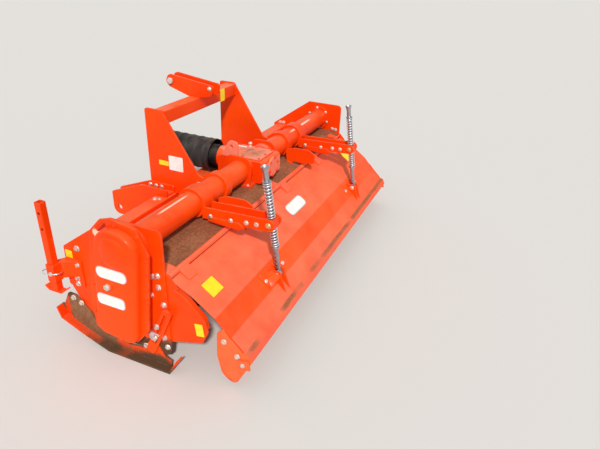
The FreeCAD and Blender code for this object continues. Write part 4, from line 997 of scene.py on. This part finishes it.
for side, name in left_and_right:
    foot = [on_board(side * x, y, soft_bend, second_bend) for x, y in foot_corners]
    cut_plate(foot, lower_normal * foot_thick, (0.0012, 2))
    settle(f"lug_foot_{name}", board_paint, "levelling_board")
    wing = [
        on_board(side * 0.630, -0.440, soft_bend, second_bend),
        on_board(side * 0.656, -0.490, soft_bend, second_bend),
        Vector((side * 0.602, -0.513, 0.300)),
        Vector((side * 0.602, -0.462, 0.319)),
    ]
    cut_plate(wing, Vector((side * 0.003, -0.001, 0.004)), (0.001, 2))
    settle(f"lug_wing_{name}", lug_paint, "levelling_board")
cheek_face, tab_face, lug_half = 1.048, 1.058, 0.026
places = both_sides([
    (lug_x + lug_half, -0.487, 0.299, 1, 0.95, 0.3), (lug_x - lug_half, -0.487, 0.299, -1, 0.95, 0.3),
    (cheek_face, -0.466, 0.235, 1, 0.85, -9.32), (cheek_face, -0.526, 0.179, 1, 0.85, -10.52),
    (tab_face, -0.556, 0.150, 1, 0.70, 0.8),
])
for x in (-0.664, -0.486, 0.486, 0.664):
    point = on_board(x, -0.462, soft_bend, second_bend) + lower_normal * foot_thick
    places.append(facing(point, lower_normal, 0.7, abs(x) * 9))
bolts(places, "board_bolts", body="levelling_board")
tab_corners = [(-0.527, 0.166), (-0.581, 0.176), (-0.589, 0.130), (-0.536, 0.128)]
tab_inside = cheek_face - 0.001
tab_thick = tab_face - tab_inside
side_plates(
    "cheek_tab", tab_corners, tab_inside, tab_thick, (0.002, 2), cheek_paint, "levelling_board"
)
hinge_y, hinge_z, sleeve_radius = -0.211, 0.470, 0.0134
knuckle, knuckle_pitch = 0.060, 0.491
sleeves = []
for index in range(4):
    start = knuckle_pitch * index - board_half + 2 * knuckle + 0.003
    end = knuckle_pitch * (index + 1) - board_half - 0.002
    bpy.ops.mesh.primitive_cylinder_add(
        vertices=28, radius=sleeve_radius, depth=end - start,
        location=((start + end) / 2, hinge_y, hinge_z), rotation=(0, math.pi / 2, 0),
    )
    sleeves.append(bpy.context.object)
only(*sleeves)
bpy.ops.object.join()
settle("hinge_sleeves", board_paint, "levelling_board")
cheek_seam = [(-0.470, 0.287), (-0.494, 0.260), (-0.553, 0.205)]
side_welds("cheek_weld", board_half, cheek_seam, "levelling_board", 0.003)

# Spring arms: pairs of flat bars from an eye on the cross tube to the trunnion, bolted through
# spacers, with a short doubling plate on the side of each.
arm_paint = orange_paint("arm_paint", fade_and_sheen=0.5, dust=0.15)
dress(arm_paint, "spring_arm_left", "spring_arm_right")
arm_bolts = [(-0.150, 0.541), (-0.259, 0.545), (-0.336, 0.549), (-0.388, 0.552)]
doubler = [(-0.135, 0.512), (-0.135, 0.536), (-0.300, 0.542), (-0.330, 0.520), (-0.300, 0.504)]
bar_reach, doubler_thick, doubler_end = 0.041, 0.008, -0.31
places = []
for side, name in left_and_right:
    left_face, right_face = side * lug_x - bar_reach, side * lug_x + bar_reach
    plate = [Vector((left_face + 0.001, y, z)) for y, z in doubler]
    cut_plate(plate, (-doubler_thick - 0.001, 0, 0), (0.0015, 2))
    settle(f"arm_doubler_{name}", arm_paint)
    for y, z in arm_bolts:
        under = doubler_thick if y > doubler_end else 0.0
        places.append(facing((left_face - under, y, z), leftward, 0.85, y * 30))
        places.append(facing((right_face, y, z), (1, 0, 0), 0.85, y * 20))
bolts(places, "arm_bolts")

# Trunnions, rods and springs: each rod is a plated tube with a flared mouth, drilled low down
# for a pin. It slides in a trunnion between the arm's bars, with a spring of round wire above
# and one below, each held by a collar.
spring_zinc = plated_steel("spring_zinc", (0.80, 0.82, 0.86), dirt=0.10, roughness=0.26)
# The rods' zinc is darker than the springs': painted shade for the rods in the springs' shadow.
shaded_rod_zinc = plated_steel("shaded_rod_zinc", (0.48, 0.50, 0.55), dirt=0.16, roughness=0.30)
passivated = plated_steel("passivated_zinc", (0.80, 0.70, 0.40), dirt=0.15, roughness=0.30)
dress(orange_paint("trunnion_paint", fade_and_sheen=0.3, dust=0.2), "trunnion_left", "trunnion_right")
pivot_point, pin_point = Vector((0, -0.447, 0.560)), Vector((0, -0.487, 0.299))
rod_axis = (pivot_point - pin_point).normalized()
rod_length = (pivot_point - pin_point).length
spring_radius, wire_radius, rod_radius = 0.0203, 0.0034, 0.0125
upper_length, upper_turns, lower_length, lower_turns = 0.176, 12, 0.104, 8
trunnion_half, collar, rod_above, eye_bore = 0.020, 0.005, 0.262, 0.0095
upper_seat, lower_seat = trunnion_half + upper_length, -trunnion_half - lower_length


def round_coil(length, turns, point, direction):
    """A compression spring of round wire from a point along a direction, with closed ends."""
    steps = 22
    middle = spring_radius - wire_radius
    closed_rise = wire_radius * 2.1
    open_rise = (length - 2 * wire_radius - 2 * closed_rise) / (turns - 2)
    spots = []
    for step in range(turns * steps + 1):
        done = step / steps
        rise = closed_rise * min(done, 1) + open_rise * min(max(done - 1, 0), turns - 2)
        rise += closed_rise * max(done - turns + 1, 0) + wire_radius
        turn = math.tau * done
        spots.append((middle * math.cos(turn), middle * math.sin(turn), rise))
    spring = drawn(spots, wire_radius=wire_radius, roundness=2)
    spring.data.transform(facing(point, direction))


for side, name in left_and_right:
    pivot = pivot_point + Vector((side * lug_x, 0, 0))
    foot = pivot - rod_axis * rod_length
    round_coil(upper_length, upper_turns, pivot + rod_axis * trunnion_half, rod_axis)
    upper = settle(f"upper_coil_{name}", spring_zinc, f"trunnion_{name}", 60)
    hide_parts(f"upper_spring_{name}")
    round_coil(lower_length, lower_turns, pivot + rod_axis * lower_seat, rod_axis)
    lower = settle(f"lower_coil_{name}", spring_zinc, f"trunnion_{name}", 60)
    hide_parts(f"lower_spring_{name}")
    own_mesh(lower)
    mouth = rod_length + rod_above
    tube = turned(
        [(0, 0.014), (0.009, 0.015), (rod_radius, 0.020), (rod_radius, mouth - 0.020),
         (0.0140, mouth - 0.012), (0.0172, mouth - 0.002), (0.0190, mouth + 0.004),
         (0.0190, mouth + 0.007), (0.0178, mouth + 0.008), (0.0164, mouth + 0.006),
         (0.0140, mouth - 0.003), (0.0100, mouth - 0.012), (0.0096, mouth - 0.190),
         (0, mouth - 0.191)],
        foot,
        rod_axis,
        32,
    )
    holes = []
    for along in (0.044, 0.066, 0.088, 0.110):
        bpy.ops.mesh.primitive_cylinder_add(
            vertices=16, radius=0.0042, depth=0.04,
            location=foot + rod_axis * along, rotation=(0, math.pi / 2, 0),
        )
        holes.append(bpy.context.object)
    only(*holes)
    bpy.ops.object.join()
    drill = bpy.context.object
    only(tube)
    cut = tube.modifiers.new("cut", "BOOLEAN")
    cut.operation, cut.object, cut.solver = "DIFFERENCE", drill, "EXACT"
    bpy.ops.object.modifier_apply(modifier="cut")
    bpy.data.objects.remove(drill)
    eye = turned(
        [(eye_bore, -0.015), (0.0155, -0.015), (0.0168, -0.013), (0.0168, 0.013),
         (0.0155, 0.015), (eye_bore, 0.015), (eye_bore, -0.015)],
        foot,
        (1, 0, 0),
        28,
    )
    collars = []
    for at in (upper_seat, lower_seat - collar):
        collars.append(turned(
            [(rod_radius - 0.0005, 0), (spring_radius - 0.001, 0), (spring_radius, 0.001),
             (spring_radius, 0.004), (spring_radius - 0.001, collar),
             (rod_radius - 0.0005, collar), (rod_radius - 0.0005, 0)],
            pivot + rod_axis * at,
            rod_axis,
            32,
        ))
    only(eye, *collars, tube)
    bpy.ops.object.join()
    rod = settle(f"drilled_rod_{name}", shaded_rod_zinc, f"rod_{name}", 40)
    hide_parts(f"spring_rod_{name}")
    places = []
    for way in (-1, 1):
        places.append(facing(pivot + Vector((way * bar_reach, 0, 0)), (way, 0, 0), 1.0, 0.2))
    bolts(places, f"trunnion_nuts_{name}", passivated, f"trunnion_{name}")

# Skids: a sole bent up at both ends and a web bolted to the plate, set by a slotted link with a
# plated clip. Soil packs on the webs and clings low on the soles.


def skid_wear(spot, patchy, fine):
    """Soil packed on the front of the web, which stands against the plate."""
    across, along, height = axes(spot)
    outward = count("ABSOLUTE", across, clamp=False)
    on_web = ramp(outward, 1.0715, 1.0690)
    front = times(ramp(along, 0.06, 0.15), ramp(along, 0.355, 0.325))
    ragged = ramp(plus(patchy, times(front, 0.35)), 0.50, 0.66)
    return times(times(on_web, ragged), 0.95)


skid_paint = orange_paint("skid_paint", fade_and_sheen=0.30, dust=0.55, soil_height=0.055, extra=skid_wear)
dress(skid_paint, "skid_left", "skid_right")
link_paint = orange_paint("link_paint", fade_and_sheen=0.3, dust=0.3, soil_height=0.06)
dress(link_paint, "skid_adjuster_left", "skid_adjuster_right")
web_face, link_face, link_pin_end = 1.068, 1.078, 1.090
skid_bolts = both_sides([
    (web_face, 0.310, 0.216, 1, 0.95, 9.3), (web_face, 0.266, 0.201, 1, 0.95, 7.98),
    (web_face, -0.078, 0.083, 1, 0.95, -2.34), (plate_face, -0.190, 0.336, 1, 0.95, -5.7),
    (plate_face, -0.176, 0.157, 1, 0.95, -5.28), (plate_face, -0.190, 0.110, 1, 0.95, -5.7),
    (link_face, -0.155, 0.222, 1, 0.95, -4.65), (link_pin_end, -0.151, 0.171, 1, 0.75, 0.4),
])
bolts(skid_bolts, "skid_bolts")
bright_clip = plated_steel("bright_clip", (0.86, 0.87, 0.92), dirt=0.08, roughness=0.22)
clip_corners, clip_thick = [(-0.104, 0.157), (-0.121, 0.200), (-0.170, 0.183), (-0.143, 0.138)], 0.008
side_plates("skid_clip", clip_corners, link_face, clip_thick, (0.0025, 2), bright_clip)

# Side shields: flat sheets behind the plates with a rim under the board. A small corner sheet
# closes the gap between each shield and the hinge's end, and a blank sticker is on the left one.
shield_paint = orange_paint("shield_paint", fade_and_sheen=0.3, dust=0.08, soil_height=0.06)
dress(shield_paint, "side_shield_left", "side_shield_right")
corner_outline = [
    (-0.188, 0.428), (-0.188, 0.486), (-0.214, 0.484), (-0.233, 0.466), (-0.250, 0.447), (-0.262, 0.428),
]
shield_inside, shield_thick, shield_face = 1.0475, 0.003, 1.050
side_plates("shield_corner", corner_outline, shield_inside, shield_thick, (0, 0), shield_paint)
tilt = math.radians(8)
sticker(
    "shield_sticker", (-shield_face - glue, -0.351, 0.253), (0, -math.cos(tilt), math.sin(tilt)),
    upright, 0.038, 0.062, yellow_vinyl,
)

# Parking stand: a square tube with a dished foot in a sleeve on the left plate. The sleeve's
# bracket is boxed in behind, and a pin with a wire ring holds the stand up.
stand_paint = orange_paint("stand_paint", fade_and_sheen=0.35, dust=0.20, soil_height=0.02)
dress(stand_paint, "stand_bracket", "parking_stand")
bracket_face, sleeve_side, web_low, web_high = -1.068, -1.1075, 0.357, 0.418
near, far = (bracket_face, 0.241), (sleeve_side, 0.303)
web = [(*near, web_low), (*far, web_low), (*far, web_high), (*near, web_high)]
cut_plate([Vector(point) for point in web], (0.003, 0.004, 0))
settle("stand_bracket_web", stand_paint)
places = []
for y, z in ((0.252, 0.408), (0.262, 0.338), (0.262, 0.308)):
    places.append(facing((bracket_face, y, z), leftward, 0.9, y * 30))
places.append(facing((-1.1488, 0.324, 0.386), leftward, 0.7))
bolts(places, "stand_bolts")
ring_wire, ring_radius, ring_squeeze = 0.0024, 0.042, (0.76, 1.14, 1)
bpy.ops.mesh.primitive_torus_add(
    major_radius=ring_radius, minor_radius=ring_wire, major_segments=48, minor_segments=8,
    location=(-1.128, 0.338, 0.384), rotation=(math.radians(-6), math.radians(8), 0),
)
bpy.context.object.scale = ring_squeeze
settle("stand_ring", bright_clip, "frame")

# The bolt that the others were copied from is put away.
bpy.data.objects.remove(bolt)
